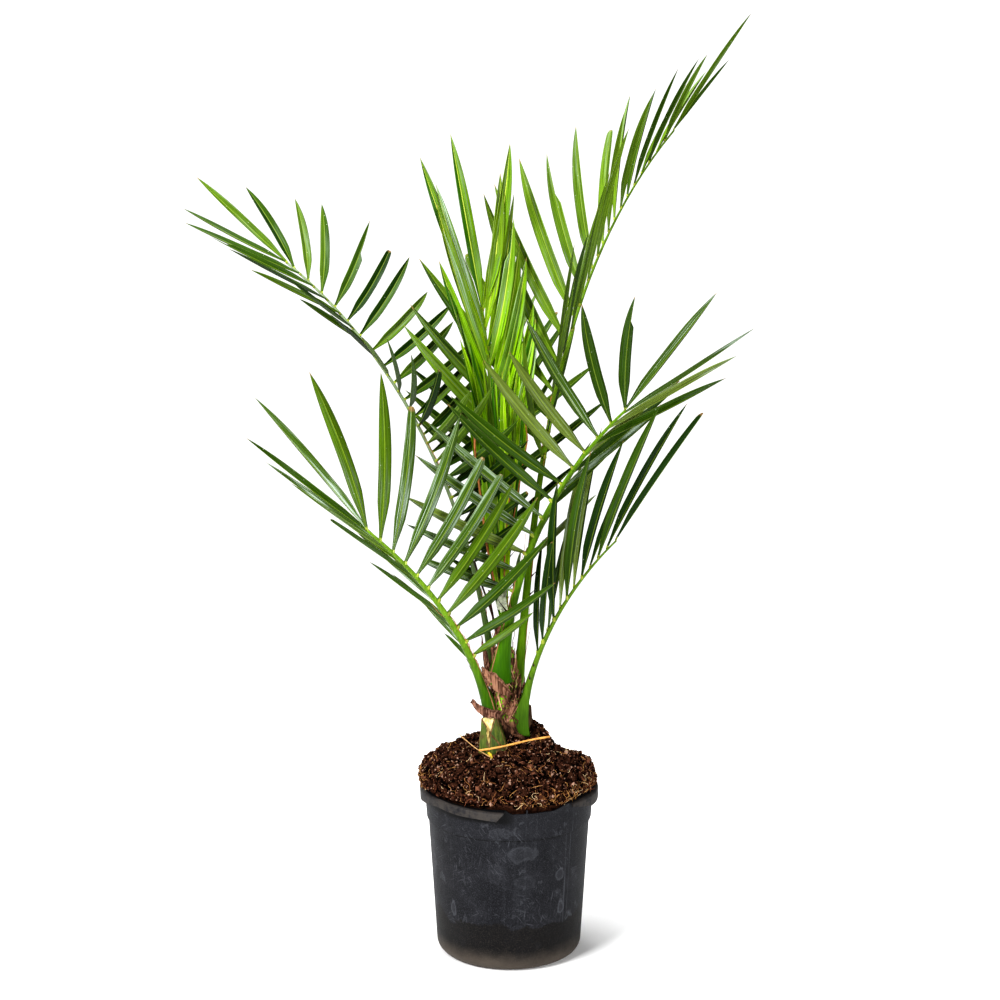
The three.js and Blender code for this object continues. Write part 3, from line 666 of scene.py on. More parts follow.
# Stem: the short fibrous stock that all leaves rise from, built of old leaf sheaths. It leans a little to
# the left and is ridged lengthwise, with ring scars.
stem_low, stem_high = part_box("stem")
STEM_FOOT = stem_low.z - 0.002
STEM_TOP = stem_high.z
STEM_WAIST = 0.236
STEM_FOOT_RADIUS = 0.017
STEM_WAIST_RADIUS = 0.0098
STEM_TOP_RADIUS = 0.0065
STEM_LEAN = Vector((-0.004, 0.001, 0))
STEM_RINGS = 60
STEM_STEPS = 72


def stem_radius(z):
    if z < STEM_WAIST:
        share = max(0.0, (z - STEM_FOOT) / (STEM_WAIST - STEM_FOOT))
        return STEM_FOOT_RADIUS + (STEM_WAIST_RADIUS - STEM_FOOT_RADIUS) * share ** 1.3
    share = min(1.0, (z - STEM_WAIST) / (STEM_TOP - STEM_WAIST))
    return STEM_WAIST_RADIUS + (STEM_TOP_RADIUS - STEM_WAIST_RADIUS) * share


def stem_axis(z):
    return STEM_LEAN * ((z - STEM_FOOT) / (STEM_TOP - STEM_FOOT))


def fibrous_finish(name, dark, pale, roughness=0.85, glimpse=None):
    """Dry brown fibre, streaked lengthwise, that may let the green leaf below show here and there."""
    material, tree, shader = finish_of(name, roughness, 0.08)
    place = node(tree, "TexCoord", {})["Object"]
    streaks = node(tree, "Mapping", {"Vector": place, "Scale": (620, 620, 50)})[0]
    streak = grain(tree, streaks, 1.0, 4)
    colour = layer(tree, ramp(tree, streak, 0.38, 0.64), rgba(dark), rgba(pale))
    if glimpse:
        height = node(tree, "SeparateXYZ", {0: place})["Z"]
        torn = ramp(tree, grain(tree, place, 290, 2), 0.545, 0.565)
        gap = maths(tree, "MULTIPLY", torn, ramp(tree, height, 0.200, 0.206))
        colour = layer(tree, gap, colour, rgba(glimpse))
        # Darker towards the foot: below the glimpses of leaf, the fibre turns near black next to the peat.
        colour = layer(tree, ramp(tree, height, 0.203, 0.192), colour, rgba((0.0150, 0.0065, 0.0040)))
    tree.links.new(colour, shader.inputs["Base Color"])
    bumped(tree, shader, streak, 0.7, 0.0006)
    return material


heights = np.linspace(STEM_FOOT, STEM_TOP, STEM_RINGS)
stem_outline = [(0, STEM_FOOT)] + [(stem_radius(z), z) for z in heights] + [(0, STEM_TOP)]
stem_shape = spun(stem_outline, STEM_STEPS)
for v in stem_shape.verts:
    turn = math.atan2(v.co.y, v.co.x)
    drawn_out = Vector((v.co.x, v.co.y, v.co.z * 0.2))
    ridge = 0.00045 * math.sin(turn * 13 + v.co.z * 90) + 0.0007 * noise.noise(drawn_out * 500)
    scar = 0.0006 * abs(math.sin(v.co.z * 260 + math.sin(turn * 2) * 1.4))
    swell = 1 + (ridge + scar) / max(math.hypot(v.co.x, v.co.y), STEM_TOP_RADIUS)
    v.co = Vector((v.co.x * swell, v.co.y * swell, v.co.z)) + stem_axis(v.co.z)
sheath_brown = fibrous_finish("sheath_brown", (0.026, 0.010, 0.006), (0.290, 0.140, 0.080),
                              glimpse=(0.15, 0.42, 0.006))
settle("stem_bark", mesh_of("stem_bark", stem_shape), [sheath_brown], ["stem"])


# Sheath net: the woven brown fibre that old sheaths leave round the stem. Two families of strands wind
# round it in opposite ways and fray at the top.
NET_STRANDS = 130
NET_POINTS = 11
NET_SHARES = (0.34, 0.36, 0.30)
net_chance = np.random.default_rng(31)

net = Bundle()
for i in range(NET_STRANDS):
    way = 1 if i % 2 else -1
    start = net_chance.uniform(0, math.tau)
    low = net_chance.uniform(0.183, 0.235)
    rise = net_chance.uniform(0.018, 0.045)
    winding = way * net_chance.uniform(0.5, 1.6)
    path = []
    for share in np.linspace(0, 1, NET_POINTS):
        z = low + rise * share
        radius = stem_radius(z) + net_chance.uniform(0.0004, 0.0014) + 0.0016 * share ** 3
        turn = start + winding * share
        centre = stem_axis(z)
        path.append((centre.x + radius * math.cos(turn), centre.y + radius * math.sin(turn), z))
    points, faces = strand(path, np.full(NET_POINTS, net_chance.uniform(0.00018, 0.00045)), 4)
    net.add(points, faces, int(net_chance.choice(3, p=NET_SHARES)))
FIBRE_BROWNS = {"fibre_dark": (0.075, 0.030, 0.014), "fibre_brown": (0.28, 0.125, 0.068),
                "fibre_tan": (0.64, 0.36, 0.215)}
fibre_finishes = [plain_finish(name, colour) for name, colour in FIBRE_BROWNS.items()]
settle("sheath_net", net.mesh("sheath_net"), fibre_finishes, ["stem"])


# Bracts: torn brown scraps of old leaf sheath that cling round the stem, and one papery pale one higher up.
# Each is a bent, ragged strip with a rolled section.
BRACTS = {
    "bract_curled": ([(-32, -21, 224), (-27, -25, 220), (-19, -27, 215), (-10, -25, 212), (-4, -17, 209),
                      (-3, -11, 207)], (1.8, 3.4, 4.8, 4.4, 2.6, 1.6), 0.55, 1),
    "bract_broad": ([(-23, -11, 249), (-21, -20, 248), (-15, -25, 243.5), (-7.5, -26, 237.5), (-1, -22, 229),
                     (2, -11, 223)], (1.0, 2.4, 5.0, 5.8, 3.2, 1.6), 0.35, 2),
    "bract_fold": ([(-17, -9, 250), (-19, -19, 247), (-17, -23, 241), (-12, -24, 234), (-8, -12, 229)],
                   (0.8, 1.4, 3.4, 2.2, 1.2), 0.50, 1),
    "bract_low": ([(-8, -11, 213), (-8, -23.5, 207), (1, -27, 198), (14, -26, 191), (13, -15, 188)],
                  (1.0, 1.5, 2.1, 1.3, 0.8), 0.40, 0),
    "bract_margin": ([(7, -9, 230), (6, -18, 226), (2, -22, 214), (-2.5, -23, 203), (-4, -13, 199)],
                     (0.5, 0.8, 1.6, 1.0, 0.6), 0.30, 2),
    "bract_left": ([(-20, -8, 264), (-18, -12, 252), (-15, -14, 240), (-10, -9, 231)],
                   (2.0, 3.6, 2.6, 1.6), 0.40, 1),
    "bract_edge": ([(-13, -13, 266), (-13.5, -15, 254), (-14, -15.5, 243), (-10, -9, 235)],
                   (0.5, 1.3, 1.6, 1.2), 0.30, 2),
    "bract_high": ([(-23, -8, 276), (-21, -10, 266), (-18, -12, 254), (-14, -11, 246), (-10, -7, 238)],
                   (0.6, 2.2, 2.8, 2.2, 1.4), 0.40, 1),
    "bract_side": ([(-6, -6, 286), (-10, -9, 277), (-13.5, -11, 265), (-13, -10, 254), (-9, -7, 244)],
                   (0.6, 2.2, 2.2, 1.6, 1.0), 0.35, 2),
    "bract_strip": ([(-17, -2, 314), (-15, -4, 302), (-13, -5, 289), (-10, -5, 272), (-7, -3, 256)],
                    (0.4, 1.3, 1.5, 1.2, 0.8), 0.25, 0),
    "bract_right": ([(9, -11, 244), (8.5, -15, 236), (6, -18, 226), (2, -11, 219)],
                    (0.6, 1.8, 2.4, 1.4), 0.40, 0),
    "bract_pith": ([(-17.8, -29.5, 203), (-17.2, -31.3, 197), (-17.0, -31.6, 188)],
                   (0.7, 1.2, 0.5), 0.10, 3),
    "bract_back": ([(6, 14, 246), (9, 13.5, 236), (10, 13, 224), (6, 7, 215)],
                   (1.4, 4.2, 3.0, 1.6), 0.40, 1),
}
BRACT_ROWS = 22
BRACT_ACROSS = 9
BRACT_THICK = 0.00045


def smooth_path(knots, count):
    """A rounded path through knots given in millimetres."""
    steps = np.linspace(0, len(knots) - 1, count)
    knots = np.array(knots) * 0.001
    path = np.stack([np.interp(steps, np.arange(len(knots)), knots[:, i]) for i in range(3)], axis=1)
    return np.array([path[max(0, i - 2):i + 3].mean(axis=0) for i in range(count)])


def strip_shape(knots, widths, roll, seed):
    """A ragged strip along a smooth path, rolled away from the stem.

    Its two skins lie together, since the new faces have no normals yet when they are solidified.
    """
    path = smooth_path(knots, BRACT_ROWS)
    steps = np.linspace(0, len(knots) - 1, BRACT_ROWS)
    half = np.interp(steps, np.arange(len(widths)), np.array(widths) * 0.001)
    runs = np.gradient(path, axis=0)
    shape = bmesh.new()
    rows = []
    for i in range(BRACT_ROWS):
        run = runs[i] / np.linalg.norm(runs[i])
        centre = stem_axis(path[i][2])
        out = np.array([path[i][0] - centre.x, path[i][1] - centre.y, 0])
        out = out - run * (out @ run)
        out /= np.linalg.norm(out)
        across = np.cross(run, out)
        row = []
        for c in np.linspace(-1, 1, BRACT_ACROSS):
            ragged = 1 + 0.35 * noise.noise(Vector((i * 0.45, c * 1.5, seed)))
            lift = roll * c * c * half[i] + 0.0012 * noise.noise(Vector((i * 0.25, c * 1.2, seed + 9.0)))
            row.append(shape.verts.new(path[i] + across * c * half[i] * ragged + out * lift))
        rows.append(row)
    for a, b in zip(rows, rows[1:]):
        for j in range(BRACT_ACROSS - 1):
            shape.faces.new((a[j], a[j + 1], b[j + 1], b[j]))
    bmesh.ops.solidify(shape, geom=list(shape.faces), thickness=BRACT_THICK)
    bmesh.ops.recalc_face_normals(shape, faces=shape.faces)
    return shape


bract_browns = [fibrous_finish("bract_dark", (0.018, 0.007, 0.004), (0.230, 0.110, 0.062)),
                fibrous_finish("bract_mauve", (0.075, 0.030, 0.020), (0.460, 0.245, 0.165)),
                fibrous_finish("bract_tan", (0.110, 0.045, 0.026), (0.500, 0.265, 0.165)),
                fibrous_finish("pith_cream", (0.420, 0.260, 0.080), (0.800, 0.680, 0.300))]
for number, (bract_name, (knots, widths, roll, brown)) in enumerate(BRACTS.items()):
    bract = mesh_of(bract_name, strip_shape(knots, widths, roll, 3.7 * number))
    settle(bract_name, bract, [bract_browns[brown]], ["stem"], 60)

papery = plain_finish("papery_white", (0.78, 0.80, 0.66), 0.6)
membrane = strip_shape([(-3.5, -4, 293), (-7, -5, 302), (-1.5, -5, 314)], (3.2, 4.6, 0.5), 0.2, 41.0)
settle("spear_membrane", mesh_of("spear_membrane", membrane), [papery], ["spear"], 60)


# Cut leaf bases: old leaves cut off close to the stem. The front one is still green with a pale dry cut;
# the other two have dried brown. The front one is a flat-sided wedge with worn edges, and the others are
# tapering half-round wedges. All are cut aslant.
WEDGE_CUT = [(-23.0, -22, 207.5), (-10.6, -22, 211.5), (-15.4, -30.5, 196.5)]
WEDGE_FOOT = [(-17.4, -31.5, 178), (-25.7, -24, 178), (-0.5, -25, 178), (-22, -9, 178), (-2, -12, 178)]
WEDGE_BACK = [(-20, -12, 205.5), (-8, -12, 209)]
WEDGE_BEVEL = 0.0007
STUBS = {
    "stub_right": dict(heading=18, width=0.013, depth=0.009, height=0.034, lean_in=0.0, slope=20),
    "stub_back": dict(heading=135, width=0.017, depth=0.009, height=0.022, lean_in=0.25, slope=16),
}


def leaf_base_finish():
    """Green leaf base, streaked lengthwise and browned in patches."""
    material, tree, shader = finish_of("leaf_base_green", 0.5, 0.3)
    place = node(tree, "TexCoord", {})["Object"]
    streaks = node(tree, "Mapping", {"Vector": place, "Scale": (500, 500, 70)})[0]
    streak = grain(tree, streaks, 1.0, 4)
    green, pale_green = rgba((0.030, 0.060, 0.006)), rgba((0.115, 0.150, 0.018))
    colour = layer(tree, ramp(tree, streak, 0.35, 0.7), green, pale_green)
    brown = ramp(tree, grain(tree, place, 130, 3), 0.50, 0.64)
    colour = veil(tree, brown, 0.8, colour, rgba((0.075, 0.042, 0.013)))
    tree.links.new(colour, shader.inputs["Base Color"])
    bumped(tree, shader, streak, 0.4, 0.0005)
    return material


def wedge_shape():
    """The front base: a squat wedge with a knife-cut face, and worn edges in a third finish."""
    shape = bmesh.new()
    corners = [shape.verts.new(Vector(c) * 0.001) for c in WEDGE_CUT + WEDGE_FOOT + WEDGE_BACK]
    cut = set(corners[:len(WEDGE_CUT)])
    bmesh.ops.convex_hull(shape, input=corners)
    bmesh.ops.recalc_face_normals(shape, faces=shape.faces)
    for face in shape.faces:
        face.material_index = 1 if set(face.verts) <= cut else 0
    sharp = [e for e in shape.edges if e.calc_face_angle() > 0.35]
    worn = bmesh.ops.bevel(shape, geom=sharp, offset=WEDGE_BEVEL, segments=2, profile=0.5, affect="EDGES",
                           material=-1)
    for face in worn["faces"]:
        face.material_index = 2
    bmesh.ops.triangulate(shape, faces=[f for f in shape.faces if len(f.verts) > 4])
    bmesh.ops.subdivide_edges(shape, edges=[e for e in shape.edges if e.calc_length() > 0.003], cuts=5,
                              use_grid_fill=True)
    shape.normal_update()
    for v in shape.verts:
        v.co += v.normal * 0.0006 * noise.noise(v.co * 240)
    bmesh.ops.recalc_face_normals(shape, faces=shape.faces)
    return shape


def stub_shape(heading, width, depth, height, lean_in, slope):
    """A half-round wedge that may lean in against the stem; its cut face takes the second finish."""
    turn = math.radians(heading)
    out = Vector((math.cos(turn), math.sin(turn), 0))
    sideways = Vector((-math.sin(turn), math.cos(turn), 0))
    shape = bmesh.new()
    bmesh.ops.create_cone(shape, cap_ends=True, segments=28, radius1=1, radius2=1, depth=1)
    upright = [e for e in shape.edges if abs(e.verts[0].co.z - e.verts[1].co.z) > 0.5]
    bmesh.ops.subdivide_edges(shape, edges=upright, cuts=8, use_grid_fill=True)
    for v in shape.verts:
        up = v.co.z + 0.5
        z = STEM_FOOT + up * (height + 0.012)
        narrow = 1 - 0.4 * up
        reach = STEM_FOOT_RADIUS * (1 - lean_in * up) + v.co.y * depth * narrow * 0.625
        v.co = stem_axis(z) + out * reach + sideways * (v.co.x * width * narrow / 2) + Vector((0, 0, z))
        v.co += out * 0.0005 * noise.noise(v.co * 260)
    tilted = Vector((0, 0, 1)) * math.cos(math.radians(slope)) + out * math.sin(math.radians(slope))
    top = stem_axis(STEM_FOOT + height) + out * STEM_FOOT_RADIUS * 0.9 + Vector((0, 0, STEM_FOOT + height))
    parts = bmesh.ops.bisect_plane(shape, geom=list(shape.verts) + list(shape.edges) + list(shape.faces),
                                   plane_co=top, plane_no=tilted, clear_outer=True)
    rim = [e for e in parts["geom_cut"] if isinstance(e, bmesh.types.BMEdge)]
    for face in bmesh.ops.holes_fill(shape, edges=rim, sides=0)["faces"]:
        face.material_index = 1
    bmesh.ops.recalc_face_normals(shape, faces=shape.faces)
    return shape


cut_cream = fibrous_finish("dry_cut_cream", (0.46, 0.35, 0.12), (0.80, 0.70, 0.35), 0.7)
cut_brown = fibrous_finish("dry_cut_brown", (0.05, 0.035, 0.02), (0.16, 0.11, 0.055), 0.85)
stub_brown = fibrous_finish("stub_brown", (0.022, 0.013, 0.008), (0.095, 0.055, 0.03), 0.85)
for stub_name, sizes in STUBS.items():
    settle(stub_name + "_base", mesh_of(stub_name, stub_shape(**sizes)), [stub_brown, cut_brown],
           [stub_name], 35)
edge_brown = fibrous_finish("worn_edge_brown", (0.070, 0.036, 0.014), (0.230, 0.140, 0.060), 0.8)
settle("stub_front_base", mesh_of("stub_front", wedge_shape()), [leaf_base_finish(), cut_cream, edge_brown],
       ["stub_front"], 35)


# Fronds: feather leaves, each a stalk that widens at its foot and two rows of narrow leaflets folded along
# their midribs. A leaflet that would come near another frond swings aside, or is left out. The values of
# all but frond_back were mostly found by a search against the photograph's outline, and then rounded.
FRONDS = {
    "frond_front_left": dict(
        seed=67, foot=(-0.015, -0.009, 0.204), heading=204, swerve=-8.8, lean=(9, 48.9), bend=0.72,
        length=0.2001, bare=0.251, roll=(20.5, 42.8), spread=(77.1, 62.9, 29.5), rise=(27.7, 34.3),
        leaf=(0.055, 0.127, 0.14), peak=0.3, pairs=11, lead=-1, tip_leaf=0.139, tip_rise=15.4,
        stalk=(0.0072, 0.0048, 0.0013), leaf_width=0.0095, blunt=0.35,
        tones=("mid", "fresh", "dark", "painted_sheen_green"), under=("mid", "dark", "mid", "painted_sheen_green"), rib="rib_olive"),
    "frond_front_right": dict(
        seed=14, foot=(-0.006, -0.012, 0.236), heading=331.6, swerve=-2.4, lean=(2.5, 47.5), bend=0.97,
        length=0.2677, bare=0.266, roll=(-14.9, -24.6), spread=(87.6, 70.4, 35.9), rise=(41.2, 15.7),
        leaf=(0.082, 0.123, 0.124), other_leaf=(0.128, 0.157, 0.13), peak=0.55, pairs=12, lead=1,
        tip_leaf=0.12, tip_rise=10.3, stalk=(0.0082, 0.005, 0.0013), leaf_width=0.0095, blunt=0.2,
        tones=("mid", "painted_sheen_green", "waxy", "painted_sheen_green", "dark"), under=("dark", "painted_sheen_green", "waxy"), rib="rib_fresh"),
    "frond_upper_left": dict(
        seed=74, foot=(-0.012, 0.007, 0.232), heading=167, swerve=-14.6, lean=(7.2, 56.8), bend=1.29,
        length=0.4037, bare=0.251, roll=(53.8, -17.7), spread=(75, 77, 16.2), rise=(51, 4.4),
        leaf=(0.054, 0.114, 0.1), peak=0.26, pairs=19, lead=-1, tip_leaf=0.112, tip_rise=4.1,
        stalk=(0.005, 0.0036, 0.0012), leaf_width=0.0086, blunt=0.15,
        tones=("mid", "dark", "deep", "dark"), under=("dark", "deep", "mid"), rib="rib_waxy"),
    "frond_upper_right": dict(
        seed=63, foot=(0.008, 0.009, 0.232), heading=20, swerve=-19.6, lean=(5.2, 39.8), bend=2.35,
        length=0.4779, bare=0.218, roll=(68.7, -18.7), spread=(65.1, 40.8, 15.8), rise=(46.2, 19),
        leaf=(0.126, 0.173, 0.078), peak=0.06, pairs=18, lead=-1, tip_leaf=0.111, tip_rise=7.3,
        stalk=(0.005, 0.0036, 0.0012), leaf_width=0.0095, blunt=0.06,
        tones=("fresh", "mid", "fresh", "dark"), under=("mid", "dark", "fresh"), rib="rib_green"),
    "frond_low_right": dict(
        seed=60, foot=(0.01, -0.013, 0.188), heading=4, swerve=-2, lean=(-2.1, 45.7), bend=0.77,
        length=0.1891, bare=0.393, roll=(1, -13), spread=(32, 34, 24), rise=(41.4, 30),
        leaf=(0.1, 0.145, 0.15), peak=0.6, pairs=6, lead=1, tip_leaf=0.144, tip_rise=17.8,
        stalk=(0.0086, 0.005, 0.0013), leaf_width=0.0086, blunt=0.12,
        tones=("deep", "dark", "deep", "mid", "deep", "waxy"), under=("deep", "dark", "deep"),
        rib="rib_low"),
    "spear": dict(
        seed=11, foot=(-0.004, 0.001, 0.261), heading=133.8, swerve=0.2, lean=(1, 10.6), bend=1.24,
        length=0.2809, bare=0.303, roll=(5.1, -20.4), spread=(10, 20, 14), rise=(31, 10),
        leaf=(0.135, 0.12, 0.14), peak=0.49, pairs=13, lead=1, tip_leaf=0.148, tip_rise=-7.7,
        stalk=(0.0054, 0.004, 0.0012), leaf_width=0.01, blunt=0,
        tones=("bright", "grass", "lush", "bright", "glint"), under=("bright", "grass", "lush"),
        rib="rib_bright"),
    "frond_back": dict(
        seed=7, foot=(-0.004, 0.013, 0.226), heading=88, swerve=6, lean=(8, 52), bend=1,
        length=0.285, bare=0.28, roll=(5, -5), spread=(68, 62, 25), rise=(42, 30),
        leaf=(0.06, 0.108, 0.1), peak=0.45, pairs=10, lead=1, tip_leaf=0.105, tip_rise=0,
        stalk=(0.005, 0.0036, 0.0012), leaf_width=0.009, blunt=0.1,
        tones=("dark", "deep", "mid"), under=("deep", "dark", "mid"), rib="rib_green"),
}
RIB_STEPS = 60
FOOT_FADE = 0.022
USUAL_LEAF = 0.120
LEAF_ARCH = 0.05
LEAF_TWIST = 14
BLUNT_SHARE = 0.9
SPREAD_DROP = 2.5
SPREAD_JITTER, RISE_JITTER, LENGTH_JITTER = 3.5, 5, 0.06
CLEAR_LEAFLET, CLEAR_RIB, RIB_STRIDE = 0.0075, 0.0055, 4
SWINGS = (0, 6, -6, 12, -12, 18, -18)


def chance(k):
    """A repeatable number from 0 to 1 for each whole number k."""
    return (math.sin(k * 12.9898 + 78.233) * 43758.5453) % 1.0


def jitter(k, amount):
    return (2 * chance(k) - 1) * amount


def between(ends, share):
    return ends[0] + (ends[1] - ends[0]) * share


def unit(v):
    return v / np.linalg.norm(v)


def turned_from(a, b, angle):
    return a * math.cos(angle) + b * math.sin(angle)


def spread_at(spread, u):
    """Even change from foot to middle, then a drop that quickens towards the tip."""
    foot, middle, tip = spread
    if u < 0.5:
        return foot + (middle - foot) * 2 * u
    return middle + (tip - middle) * (2 * u - 1) ** SPREAD_DROP


def leaf_length_at(frond, u, side):
    first, longest, last = frond.get("other_leaf", frond["leaf"]) if side < 0 else frond["leaf"]
    if u < frond["peak"]:
        return first + (longest - first) * math.sin(u / frond["peak"] * math.pi / 2)
    return last + (longest - last) * math.cos((u - frond["peak"]) / (1 - frond["peak"]) * math.pi / 2)


def rib_frame(frond, s):
    """The rib's directions at share s of its length: along it, out of its upper face, and to its side."""
    lean = math.radians(between(frond["lean"], s ** frond["bend"]))
    heading = math.radians(frond["heading"] + frond["swerve"] * s)
    roll = math.radians(between(frond["roll"], s))
    away = np.array([math.cos(heading), math.sin(heading), 0])
    up = np.array([0, 0, 1])
    along = away * math.sin(lean) + up * math.cos(lean)
    upright = up * math.sin(lean) - away * math.cos(lean)
    upper = turned_from(upright, np.cross(along, upright), roll)
    return along, upper, np.cross(along, upper)


def rib_points(frond):
    points = [np.array(frond["foot"])]
    for i in range(RIB_STEPS):
        along = rib_frame(frond, (i + 0.5) / RIB_STEPS)[0]
        points.append(points[-1] + along * frond["length"] / RIB_STEPS)
    return np.array(points)


def point_on(points, s):
    x = s * RIB_STEPS
    i = min(int(x), RIB_STEPS - 1)
    return points[i] + (points[i + 1] - points[i]) * (x - i)


def stalk_half_width(frond, s):
    foot, above, tip = frond["stalk"]
    return tip + (above - tip) * (1 - s) + (foot - above) * math.exp(-s * frond["length"] / FOOT_FADE)


def leaflet_plan(frond):
    """Each leaflet's share along the leafy part, its side and its number. The last one ends the rib."""
    for i in range(frond["pairs"]):
        for side in (1, -1):
            u = (i + (0.5 if side == frond["lead"] else 0)) / (frond["pairs"] - 0.5)
            yield u, side, 1000 * frond["seed"] + 20 * i + (10 if side > 0 else 0)
    yield 1, 0, 1000 * frond["seed"] + 900


def leaflet(frond, points, u, side, k, swing):
    """One leaflet's line and blade directions, swung by an angle."""
    s = frond["bare"] + (1 - frond["bare"]) * u
    along, upper, across = rib_frame(frond, s)
    if side == 0:
        spread, rise, length = frond["tip_rise"], 90, frond["tip_leaf"]
    else:
        spread = spread_at(frond["spread"], u) + jitter(k + 1, SPREAD_JITTER)
        rise = between(frond["rise"], u) + jitter(k + 2, RISE_JITTER) + swing
        length = leaf_length_at(frond, u, side) * (1 + jitter(k + 3, LENGTH_JITTER))
    aside = turned_from(across * side, upper, math.radians(rise))
    run = unit(turned_from(along, aside, math.radians(spread)))
    blunt = chance(k + 5) < frond["blunt"]
    length *= BLUNT_SHARE if blunt else 1
    reference = across if side == 0 else along
    wide = unit(reference - run * (reference @ run))
    face = np.cross(run, wide)
    face = -face if face @ upper < 0 else face
    arch = 0 if side == 0 else LEAF_ARCH * length
    base = point_on(points, s)
    bow = [base, base + run * length / 2 - wide * arch / 2, base + run * length]
    return dict(base=base, bow=bow, run=run, wide=wide, face=face, length=length, blunt=blunt, arch=arch,
                s=s, k=k, u=u, side=side)


def gaps(p, q, starts, ends):
    """The shortest distances from the stretch p to q to each of the stretches from starts to ends."""
    d1, d2, r = q - p, ends - starts, p - starts
    a, e = d1 @ d1, np.sum(d2 * d2, axis=1)
    b, c, f = d2 @ d1, r @ d1, np.sum(d2 * r, axis=1)
    s = np.clip((b * f - c * e) / np.maximum(a * e - b * b, 1e-30), 0, 1)
    t = (b * s + f) / e
    s = np.where(t < 0, np.clip(-c / a, 0, 1), np.where(t > 1, np.clip((b - c) / a, 0, 1), s))
    near = p + s[:, None] * d1 - starts - np.clip(t, 0, 1)[:, None] * d2
    return np.linalg.norm(near, axis=1)


def grow_all(ribs):
    """Every frond's leaflets, each swung clear of the other fronds or left out."""
    grown = {name: [] for name in FRONDS}
    for name, frond in FRONDS.items():
        starts, ends, rooms = [], [], []
        for other in FRONDS:
            if other != name:
                for j in range(0, RIB_STEPS, RIB_STRIDE):
                    starts.append(ribs[other][j])
                    ends.append(ribs[other][j + RIB_STRIDE])
                    rooms.append(CLEAR_RIB + stalk_half_width(FRONDS[other], j / RIB_STEPS))
                for leaf in grown[other]:
                    starts += leaf["bow"][:2]
                    ends += leaf["bow"][1:]
                    rooms += [CLEAR_LEAFLET, CLEAR_LEAFLET]
        starts, ends, rooms = np.array(starts), np.array(ends), np.array(rooms)
        for u, side, k in leaflet_plan(frond):
            for swing in SWINGS:
                leaf = leaflet(frond, ribs[name], u, side, k, swing)
                base, middle, tip = leaf["bow"]
                if all((gaps(p, q, starts, ends) >= rooms).all() for p, q in ((base, middle), (middle, tip))):
                    grown[name].append(leaf)
                    break
    return grown


# Leaflet blades: stiff, narrow and folded, with fine lengthwise pleats, a pale midrib and a dry tip. Some
# have lost their tips. Each frond's blades are joined, in plain greens dealt out half by half, so that a
# blade's two halves may differ as painted light and shade on its fold, and streaked with painted sheen.
# The spear has narrow basal leaflets too, with tips placed from points picked in the photograph.
LEAF_GREENS = {
    "deep": (0.0072, 0.0270, 0.0006), "dark": (0.0255, 0.0610, 0.0022), "mid": (0.058, 0.112, 0.0040),
    "fresh": (0.093, 0.170, 0.0070), "lush": (0.225, 0.455, 0.0020), "bright": (0.345, 0.615, 0.0030),
    "grass": (0.050, 0.175, 0.0020), "glint": (0.230, 0.420, 0.0400), "waxy": (0.110, 0.155, 0.0260),
    "painted_sheen_green": (0.044, 0.086, 0.0090), "root_swelling": (0.300, 0.370, 0.0300),
}
SPEAR_GREENS = ("lush", "bright", "grass", "glint")
# Painted sheen: the share of pale streaks along the blades for each tone, standing in for the lamps'
# reflection. "painted_sheen_green" is mostly painted sheen, and "glint" is a painted highlight.
PAINTED_SHEEN = {"deep": 0.03, "dark": 0.06, "painted_sheen_green": 0.70, "waxy": 0.3, "glint": 0.85,
         "bright": 0.14, "lush": 0.14}
USUAL_PAINTED_SHEEN = 0.12
SPEAR_TOP_DARKENING = {"bright": 0.30, "lush": 0.45, "glint": 0.60, "grass": 0.75}
PAINTED_SHEEN_PALE = (0.46, 0.56, 0.46)
MIDRIB_PALE = (0.230, 0.310, 0.030)
SPEAR_MIDRIB = (0.520, 0.600, 0.090)
TIP_DRY = (0.240, 0.135, 0.055)
BLADE_EDGE = (0.170, 0.190, 0.045)
BLADE_STATIONS = np.array([0, .02, .05, .1, .16, .23, .31, .39, .47, .55, .63, .71, .78, .84, .89,
                           .93, .96, .98, 1])
BLADE_ACROSS = np.array([-1, -.84, -.66, -.48, -.3, -.08, 0, .08, .3, .48, .66, .84, 1])
PLEATS = np.array([0, 1, -1, 1, -1, 0, 0, 0, -1, 1, -1, 1, 0])
PLEAT_DEPTH = 0.00010
BLADE_HALF_THICK = 0.00034
MIDRIB_PROUD = 0.00035
TORN_SHARE = 0.05
BASAL_WIDTH = 0.0066
BASAL_TIPS = [(0.10, -35.2, 4, 465), (0.14, -31.1, 0, 482), (0.08, -26.1, -4, 493), (0.18, -21.2, -6, 502),
              (0.12, -16.4, -8, 505), (0.22, -11.5, -9, 500), (0.06, -5.9, -10, 494), (0.16, -0.2, -9, 499),
              (0.10, 5.5, -5, 487), (0.20, 10.4, 0, 476), (0.04, -29.0, 8, 440), (0.05, 3.0, 8, 450)]
BASAL_TONES = ("lush", "fresh", "bright", "grass", "lush")


